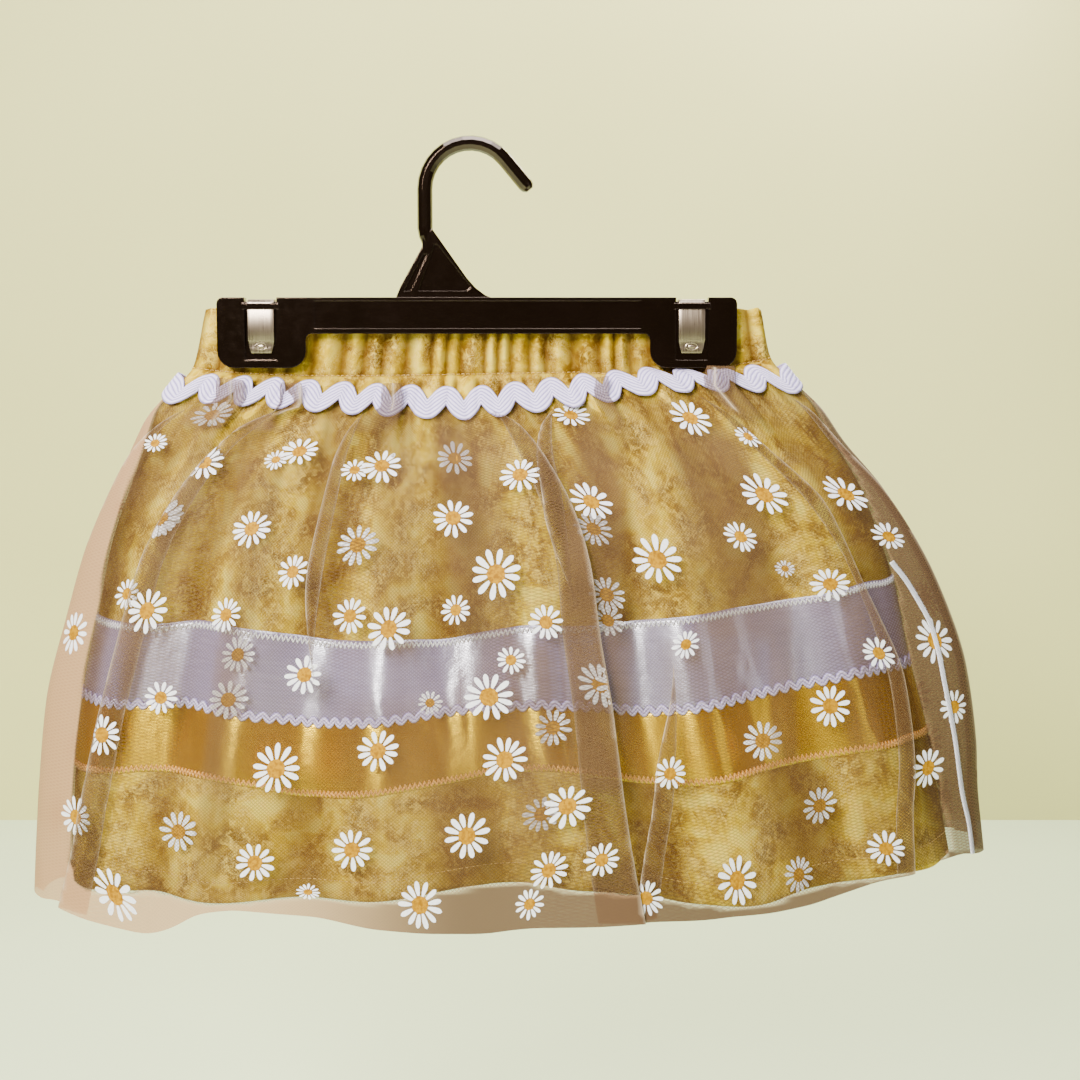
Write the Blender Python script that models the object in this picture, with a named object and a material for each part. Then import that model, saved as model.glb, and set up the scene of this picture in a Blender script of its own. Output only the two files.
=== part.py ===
"""A child's ribbon skirt hanging on a plastic clip hanger.

Metres, +Z up, the front of the skirt towards -Y. The origin is the inside top of the hanger's hook.
The tables and sizes are in millimetres and are turned to metres as each mesh is made.

The skirt is a gathered cotton tube with an elastic casing at the waist, two satin ribbons side by side
round its lower half, a narrow rickrack over their joint, a wide rickrack over the waist seam and a net
overskirt. Each cloth piece is cut as a front and a back that meet at the side seams. A panel is a wall
made on a grid: its rows are the skirt's levels and its columns share out each level's outline evenly.
"""

import math
from typing import NamedTuple

import bmesh
import bpy
import numpy as np

MM = 0.001

FRONT = -1
BACK = 1

CLOTH = 1.0
LAYER_GAP = 0.3
SEAM_GAP = 0.3
GATHERED_SEAM_TRIM = 0.5

SKIRT_Y = 8.3
PINCHED_Y = 6.2
PINCHED_SHARE_OF_DEPTH = 0.6
PINCH_FULL = 19.0
PINCH_FADE = 14.0
DRAWN_UP_X = 98.0
DRAWN_UP_REACH = 55.0

GATHERS = 28
COLUMNS_PER_GATHER = 4
GATHER_HEIGHT = 1.8
GATHER_CLEARANCE = 0.7
GATHER_DRIFT = 0.006
GATHER_DRIFT_WAVES = 5
GATHER_MEAN_SHARE = 0.78
GATHER_UNEVEN_SHARE = 0.22
GATHER_UNEVEN_STEP = 2.4

PANEL_COLUMNS = 42
RING_STEPS = 721
FOLD_GROWTH = 0.7

WIDE_RICKRACK_WAVES = 16
COLUMNS_PER_WAVE = 6
WIDE_RICKRACK_TAPE = 8.4
WIDE_RICKRACK_SWING = 4.6
WIDE_RICKRACK_OUT = GATHER_HEIGHT + CLOTH / 2 + 3 * LAYER_GAP
SMALL_RICKRACK_HEIGHT = 3.0

ROD_DIAMETER = 7.3
HOOK_RADIUS = 21.7
HOOK_CENTRE_Z = -(HOOK_RADIUS - ROD_DIAMETER / 2)
HOOK_END_ANGLE = 40.0
HOOK_TIP_RUN = 15.5
ROD_SIDES = 10

MOULDING_FRONT = -3.0
MOULDING_BACK = 3.0
BAR_PANEL_BACK = -1.9
WEB_FRONT = -2.6
WEB_BACK = 2.6
WEB_PANEL_BACK = -1.4
BRIDGE_FRONT = -3.4
BRIDGE_BOTTOM = -75.2
BRIDGE_TOP = -72.4
BRIDGE_OVERLAP = 1.0
CUTTER_FRONT = -4.5
CUTTER_TOP = -60.0
BAR_TOP = -69.6
BAR_BOTTOM = -86.9
PLATE_BOTTOM = -103.3
LEFT_PLATE = (-121.9, -79.2)
RIGHT_PLATE = (86.5, 128.2)
CLIP_CENTRES = {"left": -100.8, "right": 106.6}

CHANNEL_HALF_WIDTH = 7.75
CHANNEL_BOTTOM = -99.5
STRIP_HALF_WIDTH = 6.3
STRIP = 0.9
STRIP_FRONT = -2.1
STRIP_TOP = -70.3
FRONT_LEG_END = -96.2
BACK_LEG_END = -95.0
JAW_HALF_WIDTH = 17.0
JAW_FRONT = 9.3
JAW_THICKNESS = 2.5
JAW_BOTTOM = -101.0


class Level(NamedTuple):
    """One level of the skirt: the x and z of its two sides, the z of its middle, the depth from its middle
    plane to the front, how square its outline is (2 is an ellipse), how far the clips pinch it, and how
    far the cloth is drawn up under the right clip."""

    name: str
    left: float
    right: float
    z_left: float
    z_middle: float
    z_right: float
    depth: float
    squareness: float
    pinch: float
    drawn_up: float


LEVELS = [
    Level("waist_top", -129.0, 141.0, -74.5, -73.0, -75.0, 2.5, 5.0, 1.0, 0.0),
    Level("casing_stitch", -136.0, 146.0, -103.0, -106.0, -98.0, 2.5, 4.5, 1.0, -3.0),
    Level("seam", -145.0, 155.0, -113.5, -119.5, -109.0, 10.0, 3.2, 0.0, 5.0),
    Level("gather", -153.5, 166.0, -125.0, -130.0, -121.0, 15.0, 3.0, 0.0, 4.5),
    Level("hip_1", -159.0, 175.5, -140.0, -144.0, -138.0, 21.0, 2.7, 0.0, 4.0),
    Level("hip_2", -167.5, 189.0, -163.0, -166.0, -160.0, 30.0, 2.5, 0.0, 2.0),
    Level("hip_3", -177.5, 199.5, -191.0, -194.0, -184.0, 38.0, 2.3, 0.0, 1.0),
    Level("white_top", -184.2, 206.5, -223.0, -225.0, -204.0, 44.0, 2.2, 0.0, 0.0),
    Level("joint", -192.4, 215.8, -262.0, -261.0, -246.0, 50.0, 2.1, 0.0, 0.0),
    Level("yellow_bottom", -197.3, 225.5, -299.0, -294.0, -283.0, 55.0, 2.1, 0.0, 0.0),
    Level("lower", -199.3, 232.0, -325.0, -318.0, -313.0, 57.5, 2.0, 0.0, 0.0),
    Level("hem", -201.0, 238.0, -350.5, -343.0, -343.0, 60.0, 2.0, 0.0, 0.0),
]
PLACE = {level.name: place for place, level in enumerate(LEVELS)}


class Ease(NamedTuple):
    """How far the net stands out from the cotton's level at the left, the right and the front."""

    level: str
    left: float
    right: float
    depth: float


NET_EASE = [
    Ease("seam", 1.9, 1.9, 1.6),
    Ease("gather", 2.5, 2.6, 2.1),
    Ease("hip_1", 5.0, 5.0, 7.0),
    Ease("hip_2", 6.5, 10.5, 12.0),
    Ease("hip_3", 8.0, 16.5, 15.5),
    Ease("white_top", 11.0, 20.0, 17.0),
    Ease("joint", 13.5, 26.0, 18.0),
    Ease("yellow_bottom", 12.7, 21.0, 18.0),
    Ease("lower", 13.0, 16.5, 18.0),
    Ease("hem", 13.0, 13.5, 17.0),
]
NET_DROP_LEFT = 11.0
NET_DROP_MIDDLE = 16.0
NET_DROP_RIGHT = -6.0


class Fold(NamedTuple):
    """One fold: its place at the waist seam and at the hem and its half width there, as shares of the
    panel's width, how far it stands out at the hem, and how far it leans sideways for each mm of that."""

    top: float
    hem: float
    reach_top: float
    reach_hem: float
    rise: float
    lean: float


COTTON_FOLDS = {
    FRONT: [
        Fold(0.12, 0.08, 0.060, 0.075, 7.0, 0.0),
        Fold(0.24, 0.215, 0.060, 0.085, 10.0, 0.0),
        Fold(0.38, 0.38, 0.060, 0.080, 9.0, 0.0),
        Fold(0.53, 0.57, 0.070, 0.090, 11.0, 0.0),
        Fold(0.70, 0.735, 0.060, 0.075, 9.0, 0.0),
        Fold(0.86, 0.90, 0.060, 0.080, 8.0, 0.0),
    ],
    BACK: [
        Fold(0.10, 0.09, 0.060, 0.080, 8.0, 0.0),
        Fold(0.27, 0.26, 0.060, 0.085, 10.0, 0.0),
        Fold(0.43, 0.44, 0.065, 0.080, 8.0, 0.0),
        Fold(0.58, 0.60, 0.060, 0.080, 11.0, 0.0),
        Fold(0.74, 0.76, 0.060, 0.080, 9.0, 0.0),
        Fold(0.89, 0.91, 0.060, 0.080, 7.0, 0.0),
    ],
}
NET_FOLDS = {
    FRONT: [
        Fold(0.09, 0.07, 0.040, 0.055, 5.0, -1.0),
        Fold(0.22, 0.15, 0.040, 0.055, 7.0, -1.0),
        Fold(0.34, 0.34, 0.035, 0.050, 5.0, -0.8),
        Fold(0.51, 0.53, 0.045, 0.055, 8.0, 1.0),
        Fold(0.70, 0.62, 0.045, 0.060, 7.0, -1.0),
        Fold(0.86, 0.83, 0.040, 0.050, 6.0, 1.0),
        Fold(0.95, 0.94, 0.030, 0.045, 5.0, 0.8),
    ],
    BACK: [
        Fold(0.08, 0.07, 0.040, 0.055, 5.0, 1.0),
        Fold(0.21, 0.19, 0.040, 0.055, 7.0, -1.0),
        Fold(0.36, 0.33, 0.040, 0.055, 6.0, 1.0),
        Fold(0.50, 0.49, 0.040, 0.055, 8.0, -1.0),
        Fold(0.64, 0.65, 0.040, 0.055, 6.0, -1.0),
        Fold(0.79, 0.80, 0.040, 0.050, 7.0, 1.0),
        Fold(0.93, 0.93, 0.035, 0.050, 5.0, 1.0),
    ],
}


def linear(value):
    """One sRGB channel, 0 to 1, as linear light."""
    if value <= 0.04045:
        return value / 12.92
    return ((value + 0.055) / 1.055) ** 2.4


def make_material(name, colour, roughness, metallic=0.0):
    """A Principled material with an sRGB hex colour."""
    material = bpy.data.materials.new(name)
    material.use_nodes = True
    shader = material.node_tree.nodes["Principled BSDF"]
    channels = [linear(int(colour[i : i + 2], 16) / 255) for i in (1, 3, 5)]
    shader.inputs["Base Color"].default_value = (*channels, 1.0)
    shader.inputs["Roughness"].default_value = roughness
    shader.inputs["Metallic"].default_value = metallic
    return material


def add_object(name, shape, material, smooth_angle=35.0):
    """A new object from a closed bmesh in millimetres, its faces turned to point out."""
    if shape.calc_volume(signed=True) < 0:
        bmesh.ops.reverse_faces(shape, faces=shape.faces[:])
    bmesh.ops.scale(shape, vec=(MM, MM, MM), verts=shape.verts[:])
    mesh = bpy.data.meshes.new(name)
    shape.to_mesh(mesh)
    shape.free()
    mesh.materials.append(material)
    mesh.shade_smooth()
    mesh.set_sharp_from_angle(angle=math.radians(smooth_angle))
    piece = bpy.data.objects.new(name, mesh)
    bpy.context.scene.collection.objects.link(piece)
    return piece


def hide_helper(piece):
    """Marks an object as a shape that only cuts or joins another."""
    piece.hide_render = True
    piece.display_type = "WIRE"
    return piece


def combine(piece, helper, operation):
    """Joins a helper to a piece, or cuts it out of it."""
    step = piece.modifiers.new(helper.name, "BOOLEAN")
    step.operation = operation
    step.solver = "EXACT"
    step.object = hide_helper(helper)


def level_at(levels, place):
    """The level at a place between two rows of a table of levels."""
    low = min(int(place), len(levels) - 2)
    share = place - low
    above = levels[low]
    below = levels[low + 1]
    sizes = [a + (b - a) * share for a, b in zip(above[1:], below[1:])]
    return Level(above.name, *sizes)


def pinch_at(x):
    """How far the nearest clip pinches the waist at x: 1 under a clip and 0 away from both."""
    away = np.min([np.abs(x - centre) for centre in CLIP_CENTRES.values()], axis=0)
    share = np.clip((PINCH_FULL + PINCH_FADE - away) / PINCH_FADE, 0, 1)
    return share * share * (3 - 2 * share)


class HalfRing:
    """The front or back half of one level's outline, as closely spaced points from left seam to right."""

    def __init__(self, level, side):
        angle = np.linspace(math.pi, 0, RING_STEPS)
        across, along = np.cos(angle), np.sin(angle)
        power = level.squareness
        reach = (np.abs(across) ** power + np.abs(along) ** power) ** (-1 / power)
        across, along = across * reach, along * reach
        half_width = (level.right - level.left) / 2
        self.x = (level.left + level.right) / 2 + half_width * across
        pinch = pinch_at(self.x) * level.pinch
        middle = SKIRT_Y + (PINCHED_Y - SKIRT_Y) * pinch
        self.depth = level.depth * (1 - (1 - PINCHED_SHARE_OF_DEPTH) * pinch) * along
        self.y = middle + side * self.depth
        tilt = (level.z_right - level.z_left) / 2
        lift = (level.z_right + level.z_left) / 2 - level.z_middle
        drawn = np.clip(np.abs(self.x - DRAWN_UP_X) / DRAWN_UP_REACH, 0, 1)
        self.z = level.z_middle + tilt * across + lift * across**4
        self.z += level.drawn_up * (1 + np.cos(math.pi * drawn)) / 2
        steps = np.hypot(np.diff(self.x), np.diff(self.y))
        self.run = np.concatenate([[0], np.cumsum(steps)])
        self.length = self.run[-1]
        forward = np.stack([np.gradient(self.x), np.gradient(self.y)])
        forward /= np.hypot(*forward)
        self.out = np.stack([-forward[1], forward[0]]) * side

    def at(self, shares):
        """Points, outward directions and depths at shares of the outline, clear of the side seams."""
        run = SEAM_GAP / 2 + np.clip(shares, 0, 1) * (self.length - SEAM_GAP)
        points = np.stack([np.interp(run, self.run, axis) for axis in (self.x, self.y, self.z)], axis=-1)
        out = np.stack([np.interp(run, self.run, axis) for axis in self.out], axis=-1)
        out /= np.linalg.norm(out, axis=-1, keepdims=True)
        out = np.concatenate([out, np.zeros((len(out), 1))], axis=-1)
        return points, out, np.interp(run, self.run, self.depth)


def fold_heights(folds, shares, down):
    """How far the folds stand out, and how far they slide sideways, a share of the way down to the hem."""
    height = np.zeros_like(shares)
    slide = np.zeros_like(shares)
    for fold in folds:
        centre = fold.top + (fold.hem - fold.top) * down
        reach = fold.reach_top + (fold.reach_hem - fold.reach_top) * down
        near = np.clip(np.abs(shares - centre) / reach, 0, 1)
        bump = fold.rise * down**FOLD_GROWTH * (1 + np.cos(math.pi * near)) / 2
        height += bump
        slide += fold.lean * bump
    return height, slide


class Panel:
    """A grid of points on a cloth panel's middle surface, with the outward normal of each."""

    def __init__(self, points, side, normals=None):
        self.points = points
        self.side = side
        self.normals = self.work_out_normals() if normals is None else normals

    def work_out_normals(self):
        down = np.gradient(self.points, axis=0)
        along = np.gradient(self.points, axis=1)
        normals = np.cross(along, down) * self.side
        normals[:, (0, -1), 1] = 0
        return normals / np.linalg.norm(normals, axis=-1, keepdims=True)

    def strip(self, rows):
        """A strip of this panel: each row is a place between two of the grid's rows."""
        low = [min(int(row), len(self.points) - 2) for row in rows]
        share = np.array([row - start for row, start in zip(rows, low)])[:, None, None]
        next_row = [start + 1 for start in low]
        points = self.points[low] * (1 - share) + self.points[next_row] * share
        normals = self.normals[low] * (1 - share) + self.normals[next_row] * share
        return Panel(points, self.side, normals)

    def row_share(self, row, distance):
        """A distance down from a row, as a share of the way to the next one."""
        gaps = np.linalg.norm(self.points[row + 1] - self.points[row], axis=-1)
        return distance / gaps.mean()


def add_wall(name, panel, inner, outer, material):
    """A closed wall between two offsets from a panel's middle surface."""
    rows, columns = panel.points.shape[:2]
    shape = bmesh.new()
    layers = []
    for offset in (outer, inner):
        corners = (panel.points + panel.normals * offset).reshape(-1, 3)
        verts = [shape.verts.new(corner) for corner in corners]
        layers.append([verts[row * columns : (row + 1) * columns] for row in range(rows)])
    out, within = layers
    for i in range(rows - 1):
        for j in range(columns - 1):
            shape.faces.new((out[i][j], out[i][j + 1], out[i + 1][j + 1]))
            shape.faces.new((out[i][j], out[i + 1][j + 1], out[i + 1][j]))
            shape.faces.new((within[i][j], within[i + 1][j + 1], within[i][j + 1]))
            shape.faces.new((within[i][j], within[i + 1][j], within[i + 1][j + 1]))
    last = rows - 1
    for j in range(columns - 1):
        shape.faces.new((out[0][j + 1], out[0][j], within[0][j], within[0][j + 1]))
        shape.faces.new((out[last][j], out[last][j + 1], within[last][j + 1], within[last][j]))
    last = columns - 1
    for i in range(rows - 1):
        shape.faces.new((out[i][0], out[i + 1][0], within[i + 1][0], within[i][0]))
        shape.faces.new((out[i + 1][last], out[i][last], within[i][last], within[i + 1][last]))
    return add_object(name, shape, material, smooth_angle=60.0)


def folded_panel(levels, places, side, columns, folds):
    """A panel on the given levels, with its folds growing from the first level to the last."""
    shares = np.linspace(0, 1, columns + 1)
    first, last = places[0] + 1, places[-1]
    rows = []
    for place in places:
        ring = HalfRing(level_at(levels, place), side)
        down = min(max((place - first) / (last - first), 0), 1)
        height, slide = fold_heights(folds, shares, down)
        points, out, _ = ring.at(shares + slide / ring.length)
        rows.append(points + out * height[:, None])
    return Panel(np.array(rows), side)


def gathered_panel(side):
    """The elastic casing: a gather every few columns, uneven in height and spacing, and flat in the clips."""
    columns = GATHERS * COLUMNS_PER_GATHER
    shares = np.linspace(0, 1, columns + 1)
    wave = np.sin(2 * math.pi * GATHERS * shares)
    uneven = GATHER_MEAN_SHARE + GATHER_UNEVEN_SHARE * np.sin(
        GATHER_UNEVEN_STEP * np.floor(GATHERS * shares) + side
    )
    drift = np.sin(2 * math.pi * GATHER_DRIFT_WAVES * shares) * np.sin(math.pi * shares)
    shares = shares + GATHER_DRIFT * drift
    rows = []
    for place in (PLACE["waist_top"], PLACE["casing_stitch"], PLACE["seam"]):
        points, out, depth = HalfRing(level_at(LEVELS, place), side).at(shares)
        room = np.clip(depth - GATHER_CLEARANCE, 0, GATHER_HEIGHT)
        rows.append(points + out * (room * uneven * wave)[:, None])
    panel = Panel(np.array(rows), side)
    lift = panel.row_share(1, GATHERED_SEAM_TRIM)
    return panel.strip([0, 1, 2 - lift])


def net_levels():
    """The net's own levels: the cotton's from the waist seam down, eased out and dropped towards the hem."""
    levels = []
    middle_place = PLACE["hip_3"]
    for ease in NET_EASE:
        place = PLACE[ease.level]
        under = LEVELS[place]
        down = max(0, (place - middle_place) / (PLACE["hem"] - middle_place)) ** 1.5
        levels.append(
            under._replace(
                left=under.left - ease.left,
                right=under.right + ease.right,
                depth=under.depth + ease.depth,
                z_left=under.z_left - NET_DROP_LEFT * down,
                z_middle=under.z_middle - NET_DROP_MIDDLE * down,
                z_right=under.z_right - NET_DROP_RIGHT * down,
            )
        )
    return levels


def wide_rickrack_panel(side):
    """The wavy tape over the waist seam: two edges that swing above and below it together."""
    columns = WIDE_RICKRACK_WAVES * COLUMNS_PER_WAVE
    shares = np.linspace(0, 1, columns + 1)
    swing = WIDE_RICKRACK_SWING * np.sin(2 * math.pi * WIDE_RICKRACK_WAVES * shares)
    places = [PLACE["casing_stitch"], PLACE["seam"], PLACE["gather"]]
    rows = np.array([HalfRing(level_at(LEVELS, place), side).at(shares)[0] for place in places])
    under = Panel(rows, side)
    edges = []
    for edge in (swing + WIDE_RICKRACK_TAPE / 2, swing - WIDE_RICKRACK_TAPE / 2):
        above = (edge > 0)[:, None]
        for grid in (under.points, under.normals):
            gaps = np.where(above, under.points[0] - under.points[1], under.points[2] - under.points[1])
            share = (np.abs(edge) / np.linalg.norm(gaps, axis=-1))[:, None]
            towards = np.where(above, grid[0], grid[2])
            edges.append(grid[1] * (1 - share) + towards * share)
    points = np.array([edges[0], edges[2]])
    normals = np.array([edges[1], edges[3]])
    return Panel(points, side, normals)


def build_skirt(materials):
    """The front and the back of every cloth piece."""
    cotton_places = list(range(PLACE["seam"], PLACE["hem"] + 1))
    row = {level.name: PLACE[level.name] - PLACE["seam"] for level in LEVELS}
    overskirt = net_levels()
    for side, name in ((FRONT, "front"), (BACK, "back")):
        half = CLOTH / 2
        casing = gathered_panel(side)
        add_wall(f"waistband_{name}", casing, -half, half, materials["cotton"])

        cotton = folded_panel(LEVELS, cotton_places, side, PANEL_COLUMNS, COTTON_FOLDS[side])
        last = len(cotton_places) - 1
        trim = cotton.row_share(0, GATHERED_SEAM_TRIM)
        body = cotton.strip([trim, *range(1, last + 1)])
        add_wall(f"cotton_{name}", body, -half, half, materials["cotton"])

        ribbon_in = half + LAYER_GAP
        ribbon_out = ribbon_in + CLOTH
        joint = row["joint"]
        trim = cotton.row_share(joint, SEAM_GAP / 2)
        white = cotton.strip([row["white_top"], joint - trim])
        add_wall(f"white_ribbon_{name}", white, ribbon_in, ribbon_out, materials["white_satin"])
        yellow = cotton.strip([joint + trim, row["yellow_bottom"]])
        add_wall(f"yellow_ribbon_{name}", yellow, ribbon_in, ribbon_out, materials["yellow_satin"])

        trim_in = ribbon_out + LAYER_GAP
        reach = cotton.row_share(joint, SMALL_RICKRACK_HEIGHT / 2)
        small = cotton.strip([joint - reach, joint + reach])
        add_wall(f"small_rickrack_{name}", small, trim_in, trim_in + CLOTH, materials["rickrack"])

        wide = wide_rickrack_panel(side)
        out = WIDE_RICKRACK_OUT
        add_wall(f"wide_rickrack_{name}", wide, out, out + CLOTH, materials["rickrack"])

        net = folded_panel(overskirt, list(range(len(overskirt))), side, PANEL_COLUMNS, NET_FOLDS[side])
        trim = net.row_share(0, GATHERED_SEAM_TRIM)
        net = net.strip([trim, *range(1, len(overskirt))])
        add_wall(f"net_{name}", net, -half, half, materials["net"])


def arc(x, z, radius, start, end, steps=5):
    """Points of an arc in the XZ plane, its angles in degrees."""
    angles = [math.radians(start + (end - start) * i / steps) for i in range(steps + 1)]
    return [(x + radius * math.cos(angle), z + radius * math.sin(angle)) for angle in angles]


def extrude_outline(name, outline, front, back, material):
    """A flat outline in the XZ plane, extruded from front to back along Y."""
    shape = bmesh.new()
    face = shape.faces.new([shape.verts.new((x, front, z)) for x, z in outline])
    extruded = bmesh.ops.extrude_face_region(shape, geom=[face])
    moved = [item for item in extruded["geom"] if isinstance(item, bmesh.types.BMVert)]
    bmesh.ops.translate(shape, verts=moved, vec=(0, back - front, 0))
    bmesh.ops.recalc_face_normals(shape, faces=shape.faces[:])
    return add_object(name, shape, material)


def add_box(name, low, high, material):
    """A box between two corners."""
    outline = [(low[0], low[2]), (high[0], low[2]), (high[0], high[2]), (low[0], high[2])]
    return extrude_outline(name, outline, low[1], high[1], material)


def rounded_outline(left, right, bottom, top, radius):
    """A rectangle with round corners in the XZ plane."""
    outline = arc(left + radius, top - radius, radius, 180, 90)
    outline += arc(right - radius, top - radius, radius, 90, 0)
    outline += arc(right - radius, bottom + radius, radius, 0, -90)
    return outline + arc(left + radius, bottom + radius, radius, -90, -180)


def hanger_outline():
    """The bar and its two clip plates, seen from the front."""
    corner, fillet, top_corner = 8.0, 3.0, 3.0
    left, left_inner = LEFT_PLATE
    right_inner, right = RIGHT_PLATE
    low = PLATE_BOTTOM + corner
    outline = arc(left + top_corner, BAR_TOP - top_corner, top_corner, 180, 90, 3)
    outline += arc(right - top_corner, BAR_TOP - top_corner, top_corner, 90, 0, 3)
    outline += arc(right - corner, low, corner, 0, -90)
    outline += arc(right_inner + corner, low, corner, -90, -180)
    outline += arc(right_inner - fillet, BAR_BOTTOM - fillet, fillet, 0, 90, 3)
    outline += arc(left_inner + fillet, BAR_BOTTOM - fillet, fillet, 90, 180, 3)
    outline += arc(left_inner - corner, low, corner, 0, -90)
    return outline + arc(left + corner, low, corner, -90, -180)


def hook_route():
    """The hook's centre line in the XZ plane with the rod's radius at each point, from gusset to tip."""
    radius = ROD_DIAMETER / 2
    shank = -HOOK_RADIUS
    route = [(shank + 1.4, -44.0, 0.7 * radius), (shank + 0.4, -40.0, 0.92 * radius)]
    route.append((shank, -36.5, radius))
    for x, z in arc(0, HOOK_CENTRE_Z, HOOK_RADIUS, 180, HOOK_END_ANGLE, 12):
        route.append((x, z, radius))
    heading = math.radians(HOOK_END_ANGLE - 90)
    x, z, _ = route[-1]
    for share, part in ((0.0, 1.0), (0.5, 0.87), (0.87, 0.5)):
        run = HOOK_TIP_RUN + radius * share
        route.append((x + run * math.cos(heading), z + run * math.sin(heading), radius * part))
    return route


def sweep_rod(name, route, material):
    """A round rod along a route in the XZ plane."""
    shape = bmesh.new()
    centres = np.array([(x, z) for x, z, _ in route])
    forward = np.gradient(centres, axis=0)
    forward /= np.linalg.norm(forward, axis=1, keepdims=True)
    rings = []
    for (x, z, radius), (run_x, run_z) in zip(route, forward):
        ring = []
        for i in range(ROD_SIDES):
            turn = 2 * math.pi * i / ROD_SIDES
            side = radius * math.cos(turn)
            ring.append(shape.verts.new((x + run_z * side, radius * math.sin(turn), z - run_x * side)))
        rings.append(ring)
    for near, far in zip(rings, rings[1:]):
        for i in range(ROD_SIDES):
            k = (i + 1) % ROD_SIDES
            shape.faces.new((near[i], near[k], far[k], far[i]))
    shape.faces.new(rings[0][::-1])
    shape.faces.new(rings[-1])
    bmesh.ops.recalc_face_normals(shape, faces=shape.faces[:])
    return add_object(name, shape, material)


def build_gusset(material):
    """The triangular web between the hook's shank and the bar, with a sunk panel each side of its rib."""
    outline = [
        (-18.2, -37.0),
        (-22.6, -41.5),
        (-22.9, -45.5),
        (-33.5, -64.5),
        (-36.0, BAR_TOP - 1),
        (12.0, BAR_TOP - 1),
        (7.0, -68.4),
        (2.5, -65.0),
        (-1.5, -60.5),
    ]
    gusset = extrude_outline("gusset", outline, WEB_FRONT, WEB_BACK, material)
    panels = {
        "gusset_left_panel": [(-22.4, -49.0), (-20.4, -49.0), (-28.4, -66.5), (-32.0, -66.5)],
        "gusset_right_panel": [(-17.2, -44.5), (-15.6, -44.5), (0.4, -64.5), (-1.5, -66.5), (-25.0, -66.5)],
    }
    for name, panel in panels.items():
        cutter = extrude_outline(name, panel, CUTTER_FRONT, WEB_PANEL_BACK, material)
        combine(gusset, cutter, "DIFFERENCE")
    return gusset


def build_hanger(materials):
    """The moulded hanger, and at each end a spring strip and a rear jaw."""
    black = materials["black_plastic"]
    hanger = extrude_outline("hanger", hanger_outline(), MOULDING_FRONT, MOULDING_BACK, black)
    sink = add_box("bar_panel", (-75.0, CUTTER_FRONT, -84.4), (82.0, BAR_PANEL_BACK, -71.2), black)
    combine(hanger, sink, "DIFFERENCE")
    strip_back = STRIP_FRONT + STRIP
    strip_under = STRIP_TOP - STRIP
    for name, centre in CLIP_CENTRES.items():
        left, right = centre - CHANNEL_HALF_WIDTH, centre + CHANNEL_HALF_WIDTH
        floor = strip_back + LAYER_GAP
        front = CUTTER_FRONT
        channel = add_box(
            f"channel_{name}", (left, front, CHANNEL_BOTTOM), (right, floor, CUTTER_TOP), black
        )
        combine(hanger, channel, "DIFFERENCE")
        low = strip_under - LAYER_GAP
        notch = add_box(f"notch_{name}", (left, front, low), (right, -front, CUTTER_TOP - 1), black)
        combine(hanger, notch, "DIFFERENCE")
        bridge = add_box(
            f"bridge_{name}",
            (left - BRIDGE_OVERLAP, BRIDGE_FRONT, BRIDGE_BOTTOM),
            (right + BRIDGE_OVERLAP, STRIP_FRONT - LAYER_GAP, BRIDGE_TOP),
            black,
        )
        combine(hanger, bridge, "UNION")
    combine(hanger, build_gusset(black), "UNION")
    combine(hanger, sweep_rod("hook", hook_route(), black), "UNION")

    jaw_back = JAW_FRONT + JAW_THICKNESS
    leg_inner = jaw_back + LAYER_GAP
    for name, centre in CLIP_CENTRES.items():
        outline = rounded_outline(
            centre - JAW_HALF_WIDTH,
            centre + JAW_HALF_WIDTH,
            JAW_BOTTOM,
            strip_under - LAYER_GAP,
            4.0,
        )
        extrude_outline(f"clip_jaw_{name}", outline, JAW_FRONT, jaw_back, black)
        add_spring(f"clip_spring_{name}", centre, leg_inner, materials["spring_steel"])


def add_spring(name, centre, leg_inner, material):
    """A strip of spring steel bent over the plate and the jaw behind it."""
    under = STRIP_TOP - STRIP
    leg_outer = leg_inner + STRIP
    profile = [
        (STRIP_FRONT, FRONT_LEG_END),
        (STRIP_FRONT, under),
        (STRIP_FRONT + 0.4, STRIP_TOP),
        (leg_outer - 0.4, STRIP_TOP),
        (leg_outer, under),
        (leg_outer, BACK_LEG_END),
        (leg_inner, BACK_LEG_END),
        (leg_inner, under),
        (STRIP_FRONT + STRIP, under),
        (STRIP_FRONT + STRIP, FRONT_LEG_END),
    ]
    shape = bmesh.new()
    left = centre - STRIP_HALF_WIDTH
    face = shape.faces.new([shape.verts.new((left, y, z)) for y, z in profile])
    extruded = bmesh.ops.extrude_face_region(shape, geom=[face])
    moved = [item for item in extruded["geom"] if isinstance(item, bmesh.types.BMVert)]
    bmesh.ops.translate(shape, verts=moved, vec=(2 * STRIP_HALF_WIDTH, 0, 0))
    bmesh.ops.recalc_face_normals(shape, faces=shape.faces[:])
    return add_object(name, shape, material)


def main():
    for piece in list(bpy.data.objects):
        bpy.data.objects.remove(piece, do_unlink=True)
    materials = {
        "cotton": make_material("printed_cotton", "#E2C16F", 0.85),
        "white_satin": make_material("white_satin", "#DDE2F4", 0.35),
        "yellow_satin": make_material("yellow_satin", "#E7A410", 0.35),
        "rickrack": make_material("cotton_rickrack", "#DADBEA", 0.8),
        "net": make_material("nylon_net", "#C8B5A2", 0.7),
        "black_plastic": make_material("black_polystyrene", "#17110E", 0.18),
        "spring_steel": make_material("spring_steel", "#C9BBAA", 0.28, 1.0),
    }
    build_skirt(materials)
    build_hanger(materials)


main()
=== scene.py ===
"""A child's ribbon skirt on a clip hanger: printed cotton, satin ribbons, rickrack and a daisy-printed net.

Tables and sizes are in millimetres, with +Z up, the skirt's front towards -Y and the origin at the inside
top of the hook. Meshes are turned to metres as they are made. Each cloth piece is a grid of points whose
rows are levels of the skirt and whose columns share out each level's outline, and its UV map is its flat
cut in metres.
"""

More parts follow.
